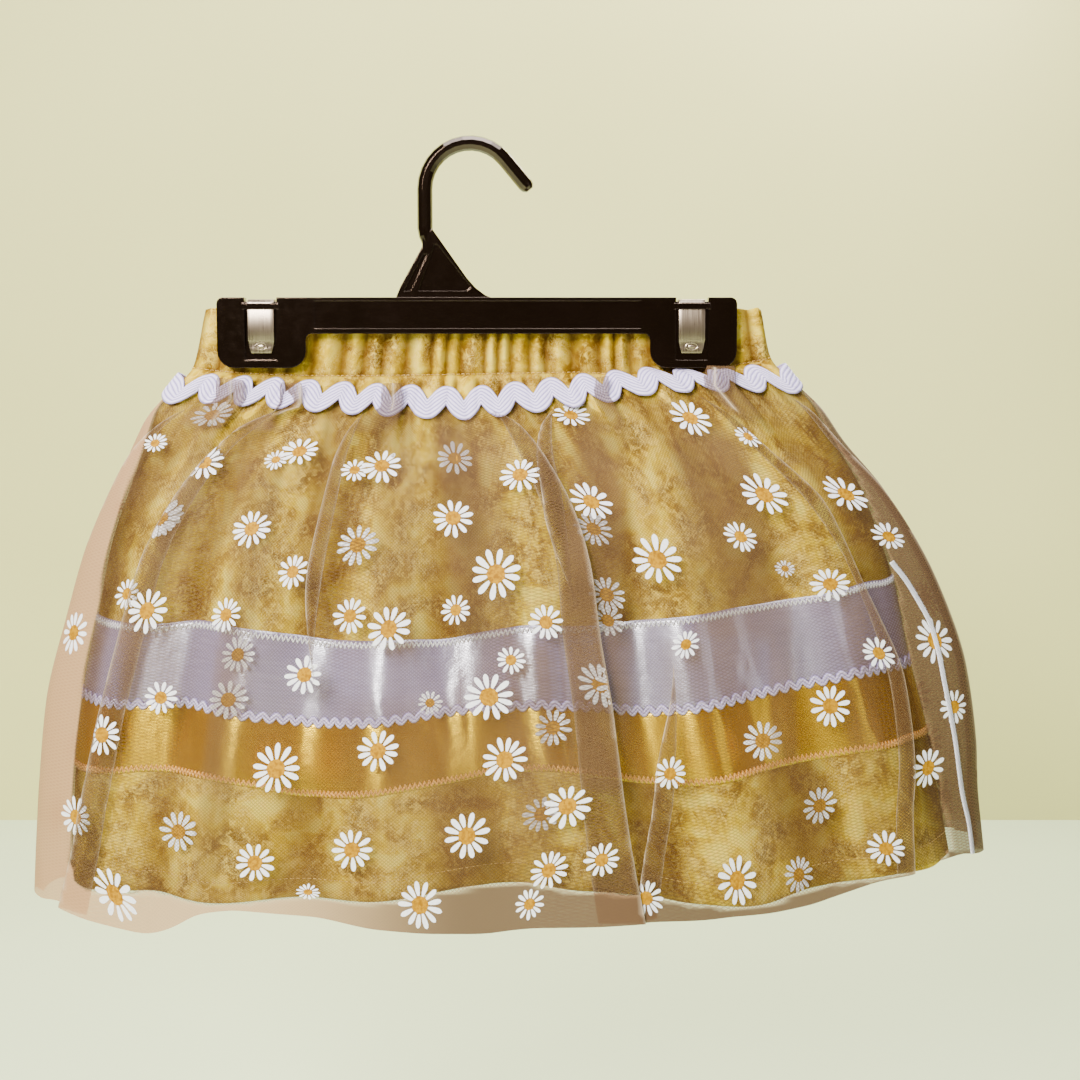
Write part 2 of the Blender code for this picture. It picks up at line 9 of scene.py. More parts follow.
import math
from typing import NamedTuple

import bpy
import numpy as np
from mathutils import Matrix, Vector
from mathutils.bvhtree import BVHTree


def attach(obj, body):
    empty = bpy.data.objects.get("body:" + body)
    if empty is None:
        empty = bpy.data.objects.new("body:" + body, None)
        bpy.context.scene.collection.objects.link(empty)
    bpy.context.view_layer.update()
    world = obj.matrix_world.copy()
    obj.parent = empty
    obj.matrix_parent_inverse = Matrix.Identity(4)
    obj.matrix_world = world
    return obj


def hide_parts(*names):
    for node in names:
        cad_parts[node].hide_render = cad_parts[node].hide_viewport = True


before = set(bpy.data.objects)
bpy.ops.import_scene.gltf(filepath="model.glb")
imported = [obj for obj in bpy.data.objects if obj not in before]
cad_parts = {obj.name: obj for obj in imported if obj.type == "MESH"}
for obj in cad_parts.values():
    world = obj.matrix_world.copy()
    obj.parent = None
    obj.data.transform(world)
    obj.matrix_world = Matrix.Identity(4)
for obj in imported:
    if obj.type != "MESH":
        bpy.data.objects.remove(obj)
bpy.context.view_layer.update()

MM = 0.001
FRONT = -1
BACK = 1

SKIRT_Y = 8.3
PINCHED_Y = 6.2
PINCHED_SHARE_OF_DEPTH = 0.6
PINCH_FULL = 19.0
PINCH_FADE = 14.0
CLIP_CENTRES = {"left": -100.8, "right": 106.6}
DRAWN_UP_X = 98.0
DRAWN_UP_REACH = 55.0
RING_STEPS = 1441


class Level(NamedTuple):
    """One level of the skirt: the x and z of its two sides, the z of its middle, the depth from its middle
    plane to the front, how square its outline is (2 is an ellipse), how far the clips pinch it, and how
    far the cloth is drawn up under the right clip."""

    name: str
    left: float
    right: float
    z_left: float
    z_middle: float
    z_right: float
    depth: float
    squareness: float
    pinch: float
    drawn_up: float


LEVELS = [
    Level("waist_top", -129.0, 141.0, -74.5, -73.0, -75.0, 2.5, 5.0, 1.0, 0.0),
    Level("casing_stitch", -136.0, 146.0, -103.0, -106.0, -98.0, 2.5, 4.5, 1.0, -3.0),
    Level("seam", -145.0, 155.0, -113.5, -119.5, -109.0, 10.0, 3.2, 0.0, 5.0),
    Level("gather", -153.5, 166.0, -125.0, -130.0, -121.0, 15.0, 3.0, 0.0, 4.5),
    Level("hip_1", -159.0, 175.5, -140.0, -144.0, -138.0, 21.0, 2.7, 0.0, 4.0),
    Level("hip_2", -167.5, 189.0, -163.0, -166.0, -160.0, 30.0, 2.5, 0.0, 2.0),
    Level("hip_3", -177.5, 199.5, -191.0, -194.0, -184.0, 38.0, 2.3, 0.0, 1.0),
    Level("white_top", -184.2, 206.5, -223.0, -225.0, -204.0, 44.0, 2.2, 0.0, 0.0),
    Level("joint", -192.4, 215.8, -262.0, -261.0, -246.0, 50.0, 2.1, 0.0, 0.0),
    Level("yellow_bottom", -197.3, 225.5, -299.0, -294.0, -283.0, 55.0, 2.1, 0.0, 0.0),
    Level("lower", -199.3, 232.0, -325.0, -318.0, -313.0, 57.5, 2.0, 0.0, 0.0),
    Level("hem", -201.0, 238.0, -350.5, -343.0, -343.0, 60.0, 2.0, 0.0, 0.0),
]
PLACE = {level.name: place for place, level in enumerate(LEVELS)}


class Ease(NamedTuple):
    """How far the net stands out from the cotton's level at the left, the right and the front."""

    level: str
    left: float
    right: float
    depth: float


NET_EASE = [
    Ease("seam", 1.9, 1.9, 1.6),
    Ease("gather", 2.5, 2.6, 2.1),
    Ease("hip_1", 5.0, 5.0, 7.0),
    Ease("hip_2", 6.5, 10.5, 12.0),
    Ease("hip_3", 8.0, 16.5, 15.5),
    Ease("white_top", 11.0, 20.0, 17.0),
    Ease("joint", 13.5, 26.0, 18.0),
    Ease("yellow_bottom", 12.7, 21.0, 18.0),
    Ease("lower", 13.0, 16.5, 18.0),
    Ease("hem", 13.0, 13.5, 17.0),
]
NET_DROP_LEFT = 11.0
NET_DROP_MIDDLE = 16.0
NET_DROP_RIGHT = -6.0

# Where the sewn lines and the hems run on the front, as x and z.
FRONT_LINES = {
    "seam": [(-139, -112.8), (-54, -118.7), (-2, -121.1), (29, -117.7), (67, -112.9), (87, -109.0),
             (110, -108.8), (141, -108.6)],
    "white_top": [(-186, -224.4), (-145, -224.4), (-126, -222.2), (-98, -225.6), (-65, -231.0),
                  (-28, -229.6), (-11, -230.6), (28, -221.8), (58, -224.0), (94, -219.7), (137, -214.8),
                  (164, -210.1), (186, -206.0), (204, -204.6)],
    "joint": [(-195, -263.9), (-129, -261.3), (-71, -269.7), (-32, -266.2), (34, -257.9), (81, -264.0),
              (138, -256.4), (182, -246.9), (218, -246.8)],
    "yellow_bottom": [(-200, -300.0), (-154, -293.9), (-137, -294.8), (-118, -294.9), (-99, -298.0),
                      (-82, -303.5), (-64, -303.8), (-33, -299.0), (-14, -297.3), (-2, -295.1),
                      (19, -289.2), (39, -287.2), (59, -292.1), (77, -296.5), (95, -298.0), (110, -295.9),
                      (135, -293.0), (164, -288.0), (184, -284.0), (227, -283.5)],
    "hem": [(-194, -353.0), (-165, -352.3), (-103, -351.1), (-65, -350.1), (-32, -347.1), (-9, -345.2),
            (29, -339.6), (61, -342.0), (100, -352.8), (137, -351.4), (158, -349.3), (183, -346.1),
            (207, -342.2), (233, -344.0)],
}
NET_HEM_LINE = [
    (-203, -359.5), (-183, -364.5), (-151, -369.2), (-137, -364.0), (-127, -356.8), (-109, -353.3),
    (-68, -354.3), (-44, -359.2), (-20, -360.7), (9, -360.4), (29, -357.3), (59, -355.8), (83, -353.7),
    (109, -355.5), (140, -354.5), (161, -351.6), (192, -342.3), (216, -339.8), (240, -335.5),
]


class Fold(NamedTuple):
    """One fold: its place at the waist seam, halfway and at the hem and its half width at the seam and the
    hem, as shares of the panel's width, how far it stands out, how far it leans over sideways for each mm
    of that, and the shares of the way down between which it lives."""

    top: float
    middle: float
    hem: float
    reach_top: float
    reach_hem: float
    rise: float
    lean: float
    start: float = -0.3
    end: float = 1.4


COTTON_FOLDS = {
    FRONT: [Fold(*row) for row in (
        (0.12, 0.10, 0.08, 0.060, 0.075, 10.0, 0.0), (0.24, 0.2275, 0.215, 0.060, 0.085, 14.0, 0.0),
        (0.38, 0.38, 0.38, 0.060, 0.080, 12.0, 0.0), (0.53, 0.55, 0.57, 0.070, 0.090, 15.0, 0.0),
        (0.70, 0.7175, 0.735, 0.060, 0.075, 13.0, 0.0), (0.86, 0.88, 0.90, 0.060, 0.080, 11.0, 0.0),
    )],
    BACK: [Fold(*row) for row in (
        (0.10, 0.095, 0.09, 0.060, 0.080, 8.0, 0.0), (0.27, 0.265, 0.26, 0.060, 0.085, 10.0, 0.0),
        (0.43, 0.435, 0.44, 0.065, 0.080, 8.0, 0.0), (0.58, 0.59, 0.60, 0.060, 0.080, 11.0, 0.0),
        (0.74, 0.75, 0.76, 0.060, 0.080, 9.0, 0.0), (0.89, 0.90, 0.91, 0.060, 0.080, 7.0, 0.0),
    )],
}
NET_FOLDS = {
    FRONT: [Fold(*row) for row in (
        (0.09, 0.055, 0.05, 0.026, 0.036, 5.0, -4.2, -0.2, 1.4),
        (0.225, 0.165, 0.135, 0.028, 0.038, 6.5, -4.6, -0.2, 1.4),
        (0.345, 0.34, 0.34, 0.024, 0.032, 5.5, -4.2, -0.2, 0.72),
        (0.49, 0.525, 0.54, 0.032, 0.042, 8.0, 5.0, -0.2, 1.4),
        (0.63, 0.60, 0.62, 0.026, 0.036, 6.5, -4.6, -0.2, 0.62),
        (0.70, 0.69, 0.665, 0.026, 0.036, 6.5, -4.2, 0.45, 1.4),
        (0.80, 0.835, 0.84, 0.028, 0.038, 6.0, 4.4, -0.2, 0.60),
        (0.88, 0.84, 0.825, 0.028, 0.038, 5.5, 4.2, 0.35, 1.4),
        (0.94, 0.93, 0.93, 0.024, 0.034, 5.0, 3.6, -0.2, 1.4),
    )],
    BACK: [Fold(*row) for row in (
        (0.08, 0.075, 0.07, 0.034, 0.045, 5.0, 2.8, -0.1, 1.4),
        (0.21, 0.20, 0.19, 0.036, 0.048, 6.5, -3.2, -0.1, 1.4),
        (0.36, 0.34, 0.33, 0.032, 0.045, 6.0, 3.0, -0.1, 1.4),
        (0.50, 0.495, 0.49, 0.038, 0.050, 7.5, -3.5, -0.1, 1.4),
        (0.64, 0.645, 0.65, 0.034, 0.045, 6.0, -3.0, -0.1, 1.4),
        (0.79, 0.795, 0.80, 0.034, 0.045, 6.5, 3.2, -0.1, 1.4),
        (0.93, 0.93, 0.93, 0.028, 0.040, 4.5, 2.6, -0.1, 1.4),
    )],
}


class Crease(NamedTuple):
    """One soft crease running down from the gathers: its place at the seam and where it ends as shares of
    the panel's width, its half width in mm, its height (a trough is negative) and how far down it reaches
    as a share of the panel's length."""

    top: float
    foot: float
    half_width: float
    height: float
    reach: float


COTTON_CREASES = {
    FRONT: [Crease(*row) for row in (
        (0.045, 0.030, 6.0, 1.1, 0.34), (0.085, 0.060, 5.0, -1.2, 0.46), (0.150, 0.130, 6.5, 1.3, 0.28),
        (0.185, 0.160, 5.5, -1.3, 0.52), (0.215, 0.205, 4.5, 1.2, 0.22), (0.285, 0.262, 6.0, -1.4, 0.60),
        (0.318, 0.300, 5.0, 1.3, 0.36), (0.352, 0.350, 4.5, -1.0, 0.25), (0.415, 0.420, 6.0, 1.4, 0.44),
        (0.452, 0.462, 5.5, -1.5, 0.58), (0.492, 0.510, 4.5, 1.2, 0.26), (0.560, 0.590, 6.0, -1.3, 0.40),
        (0.602, 0.640, 6.0, 1.2, 0.50), (0.640, 0.672, 5.0, -1.4, 0.64), (0.676, 0.690, 4.5, 1.1, 0.24),
        (0.735, 0.762, 5.5, -1.2, 0.42), (0.772, 0.800, 6.0, 1.3, 0.36), (0.815, 0.850, 5.5, -1.3, 0.56),
        (0.900, 0.930, 5.5, -1.1, 0.38), (0.945, 0.960, 5.0, 1.0, 0.30),
    )],
    BACK: [Crease(*row) for row in (
        (0.060, 0.050, 6.0, 1.2, 0.38), (0.120, 0.110, 5.5, -1.3, 0.48), (0.180, 0.165, 5.0, 1.2, 0.26),
        (0.222, 0.205, 6.0, -1.4, 0.56), (0.312, 0.300, 5.5, 1.3, 0.40), (0.350, 0.345, 4.5, -1.2, 0.30),
        (0.398, 0.395, 6.0, 1.2, 0.52), (0.476, 0.480, 5.5, -1.4, 0.44), (0.520, 0.535, 5.0, 1.3, 0.28),
        (0.640, 0.655, 6.0, -1.3, 0.58), (0.690, 0.705, 5.0, 1.2, 0.34), (0.800, 0.815, 5.5, -1.3, 0.46),
        (0.845, 0.855, 5.0, 1.1, 0.26), (0.945, 0.950, 5.5, -1.1, 0.36),
    )],
}

CAMERA = Vector((33.5, -768.7, -119.5))
CAMERA_PITCH = math.radians(5.0)
CAMERA_FIELD = math.radians(37.726)
PHOTO_HALF = 540.0


class Levels:
    """A table of levels that runs smoothly from row to row without swinging past them."""

    def __init__(self, rows):
        self.rows = np.array([row[1:] for row in rows], float)
        steps = np.diff(self.rows, axis=0)
        product = steps[:-1] * steps[1:]
        total = steps[:-1] + steps[1:]
        inner = np.where(product > 0, 2 * product / np.where(total == 0, 1, total), 0)
        self.slopes = np.concatenate([steps[:1], inner, steps[-1:]])

    def at(self, place):
        low = min(int(place), len(self.rows) - 2)
        t = place - low
        above, below = self.rows[low], self.rows[low + 1]
        leave, arrive = self.slopes[low], self.slopes[low + 1]
        value = (2 * t**3 - 3 * t**2 + 1) * above + (t**3 - 2 * t**2 + t) * leave
        value = value + (3 * t**2 - 2 * t**3) * below + (t**3 - t**2) * arrive
        return Level("between", *value)


def smooth(value, low, high):
    """0 below low, 1 above high and an S between them."""
    share = np.clip((value - low) / (high - low), 0, 1)
    return share * share * (3 - 2 * share)


def hump(distance):
    """A smooth bump: 1 at no distance and 0 from a distance of 1 on."""
    return (1 + np.cos(math.pi * np.clip(distance, 0, 1))) / 2


def off_edges(shares, width):
    """0 at both ends of a panel and 1 from a width inside them, in shares."""
    return smooth(np.minimum(shares, 1 - shares), 0, width)


def unit(vectors):
    """Vectors brought to a length of 1."""
    return vectors / np.maximum(np.linalg.norm(vectors, axis=-1, keepdims=True), 1e-9)


def pinch_at(x):
    """How far the nearest clip pinches the waist at x: 1 under a clip and 0 away from both."""
    away = np.min([np.abs(x - centre) for centre in CLIP_CENTRES.values()], axis=0)
    return 1 - smooth(away, PINCH_FULL, PINCH_FULL + PINCH_FADE)


class HalfRing:
    """The front or back half of one level's outline, as closely spaced points from left seam to right."""

    def __init__(self, level, side):
        angle = np.linspace(math.pi, 0, RING_STEPS)
        across, along = np.cos(angle), np.sin(angle)
        power = level.squareness
        reach = (np.abs(across) ** power + np.abs(along) ** power) ** (-1 / power)
        across, along = across * reach, along * reach
        half_width = (level.right - level.left) / 2
        self.x = (level.left + level.right) / 2 + half_width * across
        pinch = pinch_at(self.x) * level.pinch
        middle = SKIRT_Y + (PINCHED_Y - SKIRT_Y) * pinch
        self.depth = level.depth * (1 - (1 - PINCHED_SHARE_OF_DEPTH) * pinch) * along
        self.y = middle + side * self.depth
        tilt = (level.z_right - level.z_left) / 2
        lift = (level.z_right + level.z_left) / 2 - level.z_middle
        self.z = level.z_middle + tilt * across + lift * across**4
        self.z += level.drawn_up * hump(np.abs(self.x - DRAWN_UP_X) / DRAWN_UP_REACH)
        steps = np.hypot(np.diff(self.x), np.diff(self.y))
        self.run = np.concatenate([[0], np.cumsum(steps)])
        self.length = self.run[-1]
        forward = np.stack([np.gradient(self.x), np.gradient(self.y)])
        forward /= np.hypot(*forward)
        self.out = np.stack([-forward[1], forward[0]]) * side

    def at(self, shares):
        """Points, outward directions and depths at shares of the outline."""
        run = np.clip(shares, 0, 1) * self.length
        points = np.stack([np.interp(run, self.run, axis) for axis in (self.x, self.y, self.z)], axis=-1)
        out = unit(np.stack([np.interp(run, self.run, axis) for axis in self.out], axis=-1))
        out = np.concatenate([out, np.zeros((len(out), 1))], axis=-1)
        return points, out, np.interp(run, self.run, self.depth)


class SewnLines:
    """Moves the rows of a panel up or down so that they follow the lines that were sewn and cut, which are
    given for the front alone."""

    def __init__(self, levels, lines, side):
        lines = lines if side == FRONT else {}
        self.x = np.linspace(-230, 265, 199)
        kernel = np.array([1, 2, 3, 4, 3, 2, 1]) / 16
        self.places = sorted(lines)
        self.shifts = []
        for place in self.places:
            ring = HalfRing(levels.at(place), side)
            line = np.array(lines[place], float)
            wanted = np.interp(self.x, line[:, 0], line[:, 1])
            wanted = np.convolve(np.pad(wanted, 3, mode="edge"), kernel, mode="valid")
            from_edge = np.minimum(self.x - ring.x[0], ring.x[-1] - self.x)
            shift = (wanted - np.interp(self.x, ring.x, ring.z)) * smooth(from_edge, 0, 16)
            self.shifts.append(shift)

    def at(self, place, x):
        if not self.places or place < self.places[0] - 1:
            return np.zeros_like(x)
        if place <= self.places[0]:
            share = smooth(place, self.places[0] - 1, self.places[0])
            return np.interp(x, self.x, self.shifts[0]) * share
        for low, high, above, below in zip(self.places, self.places[1:], self.shifts, self.shifts[1:]):
            if place <= high:
                share = smooth(place, low, high)
                return np.interp(x, self.x, above * (1 - share) + below * share)
        return np.interp(x, self.x, self.shifts[-1])


def fold_heights(folds, shares, down, growth):
    """How far the folds stand out, and how far they slide sideways, a share of the way down to the hem."""
    height = np.zeros_like(shares)
    slide = np.zeros_like(shares)
    for fold in folds:
        if down < 0.5:
            centre = fold.top + (fold.middle - fold.top) * math.sin(math.pi * down)
        else:
            centre = fold.middle + (fold.hem - fold.middle) * (1 - math.cos(math.pi * (down - 0.5)))
        reach = fold.reach_top + (fold.reach_hem - fold.reach_top) * down
        alive = smooth(down, fold.start, fold.start + 0.3) * (1 - smooth(down, fold.end - 0.3, fold.end))
        bump = fold.rise * max(down, 0) ** growth * alive * hump(np.abs(shares - centre) / reach)
        height += bump
        slide += fold.lean * bump
    return height, slide


def crease_heights(creases, shares, down, length):
    """How far the soft creases stand out a share of the way down."""
    height = np.zeros_like(shares)
    for crease in creases:
        along = min(max(down / crease.reach, 0), 1)
        if along >= 1:
            continue
        centre = crease.top + (crease.foot - crease.top) * along
        half_width = crease.half_width * (1 + 0.9 * along) / length
        height += crease.height * (1 - along**2) ** 2 * hump(np.abs(shares - centre) / half_width)
    return height


class Ripples:
    """Many fine gathers side by side, uneven in width, height and length, the same on each run."""

    def __init__(self, seed, count, longest, roundness=2.4):
        self.roundness = roundness
        chance = np.random.default_rng(seed)
        widths = chance.uniform(0.6, 1.5, count)
        self.edges = np.concatenate([[0], np.cumsum(widths)]) / widths.sum()
        self.height = chance.uniform(0.45, 1.0, count)
        self.reach = chance.uniform(0.25, 1.0, count) ** 1.6 * longest
        self.lean = chance.uniform(-0.25, 0.25, count)

    def at(self, shares, down=0.0):
        """Rounded ridges with narrow valleys between them, 0 in a valley and up to 1 on a ridge."""
        index = np.clip(np.searchsorted(self.edges, shares, side="right") - 1, 0, len(self.height) - 1)
        low, high = self.edges[index], self.edges[index + 1]
        place = (shares - low) / (high - low)
        bent = place + self.lean[index] * place * (1 - place)
        ridge = 1 - np.abs(2 * bent - 1) ** self.roundness
        fade = (1 - np.clip(down / self.reach[index], 0, 1)) ** 1.5
        return ridge * self.height[index] * fade


class Sheet:
    """A grid of points on a cloth's middle surface with the outward normal and flat place of each."""

    def __init__(self, points, side, flat_width=None):
        self.points = points
        self.side = side
        self.normals = unit(np.cross(np.gradient(points, axis=1), np.gradient(points, axis=0)) * side)
        widths = np.linalg.norm(np.diff(points, axis=1), axis=-1).sum(axis=1)
        self.width = flat_width or float(widths.max())
        steps = np.linalg.norm(np.diff(points, axis=0), axis=-1).mean(axis=1)
        self.down = np.concatenate([[0], np.cumsum(steps)])

    def sample(self, rows, columns):
        """Points and normals at fractional rows and columns."""
        rows = np.clip(np.asarray(rows, float), 0, len(self.points) - 1)
        columns = np.clip(np.asarray(columns, float), 0, self.points.shape[1] - 1)
        top = np.minimum(rows.astype(int), len(self.points) - 2)
        left = np.minimum(columns.astype(int), self.points.shape[1] - 2)
        r, c = (rows - top)[..., None], (columns - left)[..., None]
        found = []
        for grid in (self.points, self.normals):
            upper = grid[top, left] * (1 - c) + grid[top, left + 1] * c
            lower = grid[top + 1, left] * (1 - c) + grid[top + 1, left + 1] * c
            found.append(upper * (1 - r) + lower * r)
        points, normals = found
        return points, unit(normals)


def linear(value):
    """One sRGB channel, 0 to 1, as linear light."""
    if value <= 0.04045:
        return value / 12.92
    return ((value + 0.055) / 1.055) ** 2.4


def colour(text):
    """An sRGB hex colour as linear RGBA."""
    return (*[linear(int(text[i : i + 2], 16) / 255) for i in (1, 3, 5)], 1.0)


def set_inputs(node, inputs):
    """Sets a node's inputs, by place or name, to values, sRGB hex colours or the sockets that feed them."""
    for name, value in inputs.items():
        socket = node.inputs[name.replace("_", " ") if isinstance(name, str) else name]
        if isinstance(value, bpy.types.NodeSocket):
            node.id_data.links.new(value, socket)
        else:
            socket.default_value = colour(value) if isinstance(value, str) else value


def add_node(tree, kind, *feeds, output=0, steps=(), **given):
    """Adds a node and gives one of its outputs. Inputs come in order or by a name with a capital, settings
    by a name in lower case, and steps are the positions and colours of a ramp."""
    node = tree.nodes.new(f"ShaderNode{kind}")
    inputs = dict(enumerate(feeds))
    for name, value in given.items():
        if name.islower():
            setattr(node, name, value)
        else:
            inputs[name] = value
    set_inputs(node, inputs)
    if steps:
        elements = node.color_ramp.elements
        while len(elements) < len(steps):
            elements.new(0.5)
        for element, (position, text) in zip(elements, steps):
            element.position = position
            element.color = colour(text)
    return node.outputs[output]


def new_material(name):
    """A new material and its node tree."""
    material = bpy.data.materials.new(name)
    material.use_nodes = True
    return material, material.node_tree


def finished(material, **inputs):
    """The material with the inputs of its Principled shader set."""
    set_inputs(material.node_tree.nodes["Principled BSDF"], inputs)
    return material


def flat_millimetres(tree):
    """The cloth's own flat place in millimetres."""
    return add_node(tree, "Mapping", add_node(tree, "UVMap", uv_map="cloth"), Scale=(1000, 1000, 1000))


# A wave texture of this scale has its bands one unit apart.
ONE_BAND = 0.314


def printed_cotton():
    """Quilting cotton, plain woven and printed with cloudy yellow: matt, with paler clouds and fine curls."""
    material, tree = new_material("printed_quilting_cotton")
    place = flat_millimetres(tree)
    clouds = add_node(tree, "TexNoise", place, Scale=0.062, Detail=3.5, Roughness=0.5, Distortion=0.5)
    tones = [(0.36, "#6E4E00"), (0.43, "#8A6600"), (0.50, "#A88600"), (0.57, "#C6A400"), (0.64, "#DEC648")]
    ground = add_node(tree, "ValToRGB", clouds, steps=tones)
    flecks = add_node(tree, "TexNoise", place, Scale=0.24, Detail=4.0, Roughness=0.65, Distortion=1.2)
    paler = add_node(tree, "MapRange", flecks, From_Min=0.48, From_Max=0.64, To_Min=0.0, To_Max=0.85)
    mottled = add_node(tree, "Mix", paler, A=ground, B="#E0BE48", data_type="RGBA", output="Result")
    curls = add_node(tree, "TexNoise", place, Scale=0.30, Detail=2.5, Roughness=0.6, Distortion=3.2)
    from_line = add_node(tree, "Math", curls, 0.5, operation="SUBTRACT")
    line = add_node(tree, "Math", from_line, operation="ABSOLUTE")
    curl = add_node(tree, "MapRange", line, From_Min=0.012, From_Max=0.05, To_Min=1.0, To_Max=0.0)
    patches = add_node(tree, "TexNoise", place, Scale=0.045, Detail=2.0)
    shown = add_node(tree, "MapRange", patches, From_Min=0.42, From_Max=0.60, To_Min=0.05, To_Max=0.55)
    amount = add_node(tree, "Math", curl, shown, operation="MULTIPLY")
    printed = add_node(tree, "Mix", amount, A=mottled, B="#E6D080", data_type="RGBA", output="Result")
    # Painted shade: a mark that the cloth pieces carry darkens the cotton towards deep brown in the valleys
    # of its folds and gathers and along the casing's stitching.
    painted_hollow_shade = add_node(tree, "Attribute", attribute_name="painted_hollow_shade", output="Fac")
    shaded = add_node(tree, "Mix", painted_hollow_shade, A=printed, B="#543200", data_type="RGBA", output="Result")
    # Threads are 0.25 mm apart on the real cloth, drawn at 0.9 mm so that they show.
    warp, weft = (
        add_node(tree, "TexWave", place, Scale=ONE_BAND / 0.9, Distortion=0.6, Detail=1.0,
                 bands_direction=direction, output="Fac")
        for direction in "XY"
    )
    weave = add_node(tree, "Math", warp, weft, operation="MULTIPLY")
    bump = add_node(tree, "Bump", Height=weave, Strength=0.5, Distance=0.00008)
    return finished(material, Roughness=0.88, Specular_IOR_Level=0.15, Base_Color=shaded, Normal=bump)


def satin(name, base, light, deep, gloss, shine):
    """Polyester satin ribbon: long floats give a broad soft gloss along the ribbon's width."""
    material, tree = new_material(name)
    place = flat_millimetres(tree)
    stretched = add_node(tree, "Mapping", place, Scale=(0.05, 0.9, 1.0))
    streaks = add_node(tree, "TexNoise", stretched, Scale=1.0, Detail=3.0)
    tint = add_node(tree, "ValToRGB", streaks, steps=[(0.3, deep), (0.5, base), (0.7, light)])
    pucker = add_node(tree, "TexNoise", place, Scale=0.16, Detail=2.0)
    # Warp threads are 0.1 mm apart on real satin, drawn at 0.8 mm so that they show.
    thread = add_node(tree, "TexWave", place, Scale=ONE_BAND / 0.8, Distortion=0.4,
                      bands_direction="Y", output="Fac")
    height = add_node(tree, "Math", pucker, 13.0, thread, operation="MULTIPLY_ADD")
    bump = add_node(tree, "Bump", Height=height, Strength=0.35, Distance=0.00004)
    tangent = add_node(tree, "Tangent", direction_type="UV_MAP", uv_map="cloth")
    return finished(
        material, Roughness=0.26, Anisotropic=0.6, Anisotropic_Rotation=0.25, IOR=shine,
        Specular_IOR_Level=1.0, Specular_Tint=gloss, Base_Color=tint, Normal=bump, Tangent=tangent,
    )


def ribbed_braid():
    """Rickrack: a flat cotton braid whose threads run along its waves, matt and slightly fuzzy."""
    material, tree = new_material("cotton_rickrack_braid")
    place = flat_millimetres(tree)
    cord, slant = (
        add_node(tree, "TexWave", place, Scale=ONE_BAND / pitch, Distortion=0.3, bands_direction=direction,
                 output="Fac")
        for pitch, direction in ((1.35, "Y"), (1.1, "DIAGONAL"))
    )
    # The cord bands are paler on the ribs and darker between them: painted shade in the grooves of the braid.
    tones = [(0.0, "#9488BE"), (0.35, "#C6BAEE"), (1.0, "#E6DCFF")]
    shade = add_node(tree, "ValToRGB", cord, steps=tones)
    height = add_node(tree, "Math", slant, 0.3, cord, operation="MULTIPLY_ADD")
    bump = add_node(tree, "Bump", Height=height, Strength=0.7, Distance=0.00025)
    return finished(material, Roughness=0.85, Sheen_Weight=0.08, Base_Color=shade, Normal=bump)


def sewing_thread(name, base, shade):
    """Spun polyester thread: a soft sheen broken by its twist."""
    material, tree = new_material(name)
    place = add_node(tree, "TexCoord", output="Object")
    # The twist is 0.3 mm long on real thread, drawn at 0.9 mm so that it shows.
    twist = add_node(tree, "TexWave", place, Scale=1000 * ONE_BAND / 0.9, Distortion=1.0,
                     bands_direction="DIAGONAL", output="Fac")
    # The twist shows only as colour: painted shade along the grooves of the twist.
    tint = add_node(tree, "ValToRGB", twist, steps=[(0.0, shade), (0.6, base)])
    return finished(material, Roughness=0.55, Sheen_Weight=0.3, Base_Color=tint)


def nylon_net():
    """Soft nude bridal net: fine nylon threads round open holes, so it veils what is behind it."""
    material, tree = new_material("nylon_net")
    place = flat_millimetres(tree)
    lines = []
    # Holes are 1 mm across on the real net, drawn at 1.35 mm so that they show.
    for turn in (math.radians(33), math.radians(-33)):
        turned = add_node(tree, "Mapping", place, Rotation=(0, 0, turn))
        lines.append(add_node(tree, "TexWave", turned, Scale=ONE_BAND / 1.35, Distortion=0.25,
                              bands_direction="Y", output="Fac"))
    thread = add_node(tree, "Math", *lines, operation="MAXIMUM")
    cover = add_node(tree, "MapRange", thread, From_Min=0.55, From_Max=0.98, To_Min=0.05, To_Max=0.50)
    # Where a fold turns over, the eye looks along the threads and they close up into a thin line; the same
    # mark also paints a pale highlight along that line.
    edge, close, painted_shade_and_density = (
        add_node(tree, "Attribute", attribute_name=mark, output="Fac")
        for mark in ("fold_edge_and_highlight", "closeness", "painted_shade_and_density")
    )
    apart, open_share = (
        add_node(tree, "Math", 1.0, share, operation="SUBTRACT") for share in (cover, close)
    )
    holes = add_node(tree, "Math", apart, open_share, operation="MULTIPLY")
    threads = add_node(tree, "Math", 1.0, holes, operation="SUBTRACT")
    edge_threads = add_node(tree, "Math", edge, 0.66, operation="MULTIPLY")
    covered = add_node(tree, "Math", threads, edge_threads, operation="MAXIMUM")
    tone = add_node(tree, "TexNoise", place, Scale=0.02, Detail=2.0)
    shade = add_node(tree, "ValToRGB", tone, steps=[(0.3, "#56402A"), (0.5, "#604830"), (0.7, "#6C5238")])
    layered = add_node(tree, "MapRange", close, From_Min=0.42, From_Max=0.60)
    # Of these tints, the deep brown is painted shade on the net beyond the skirt and the pale one is a
    # painted highlight along the fold edges.
    for amount, tint in ((layered, "#BE946C"), (painted_shade_and_density, "#32241B"), (edge, "#D8C2A8")):
        shade = add_node(tree, "Mix", amount, A=shade, B=tint, data_type="RGBA", output="Result")
    return finished(material, Roughness=0.7, Specular_IOR_Level=0.08, Alpha=covered, Base_Color=shade)


def printed_ink(name, base, shade, grain):
    """Foil-thin plastic print on the net: even colour with a slight unevenness from the screen."""
    material, tree = new_material(name)
    place = add_node(tree, "TexCoord", output="Object")
    speck = add_node(tree, "TexNoise", place, Scale=grain, Detail=2.0)
    tint = add_node(tree, "ValToRGB", speck, steps=[(0.35, shade), (0.6, base)])
    return finished(material, Roughness=0.6, Specular_IOR_Level=0.1, Base_Color=tint)


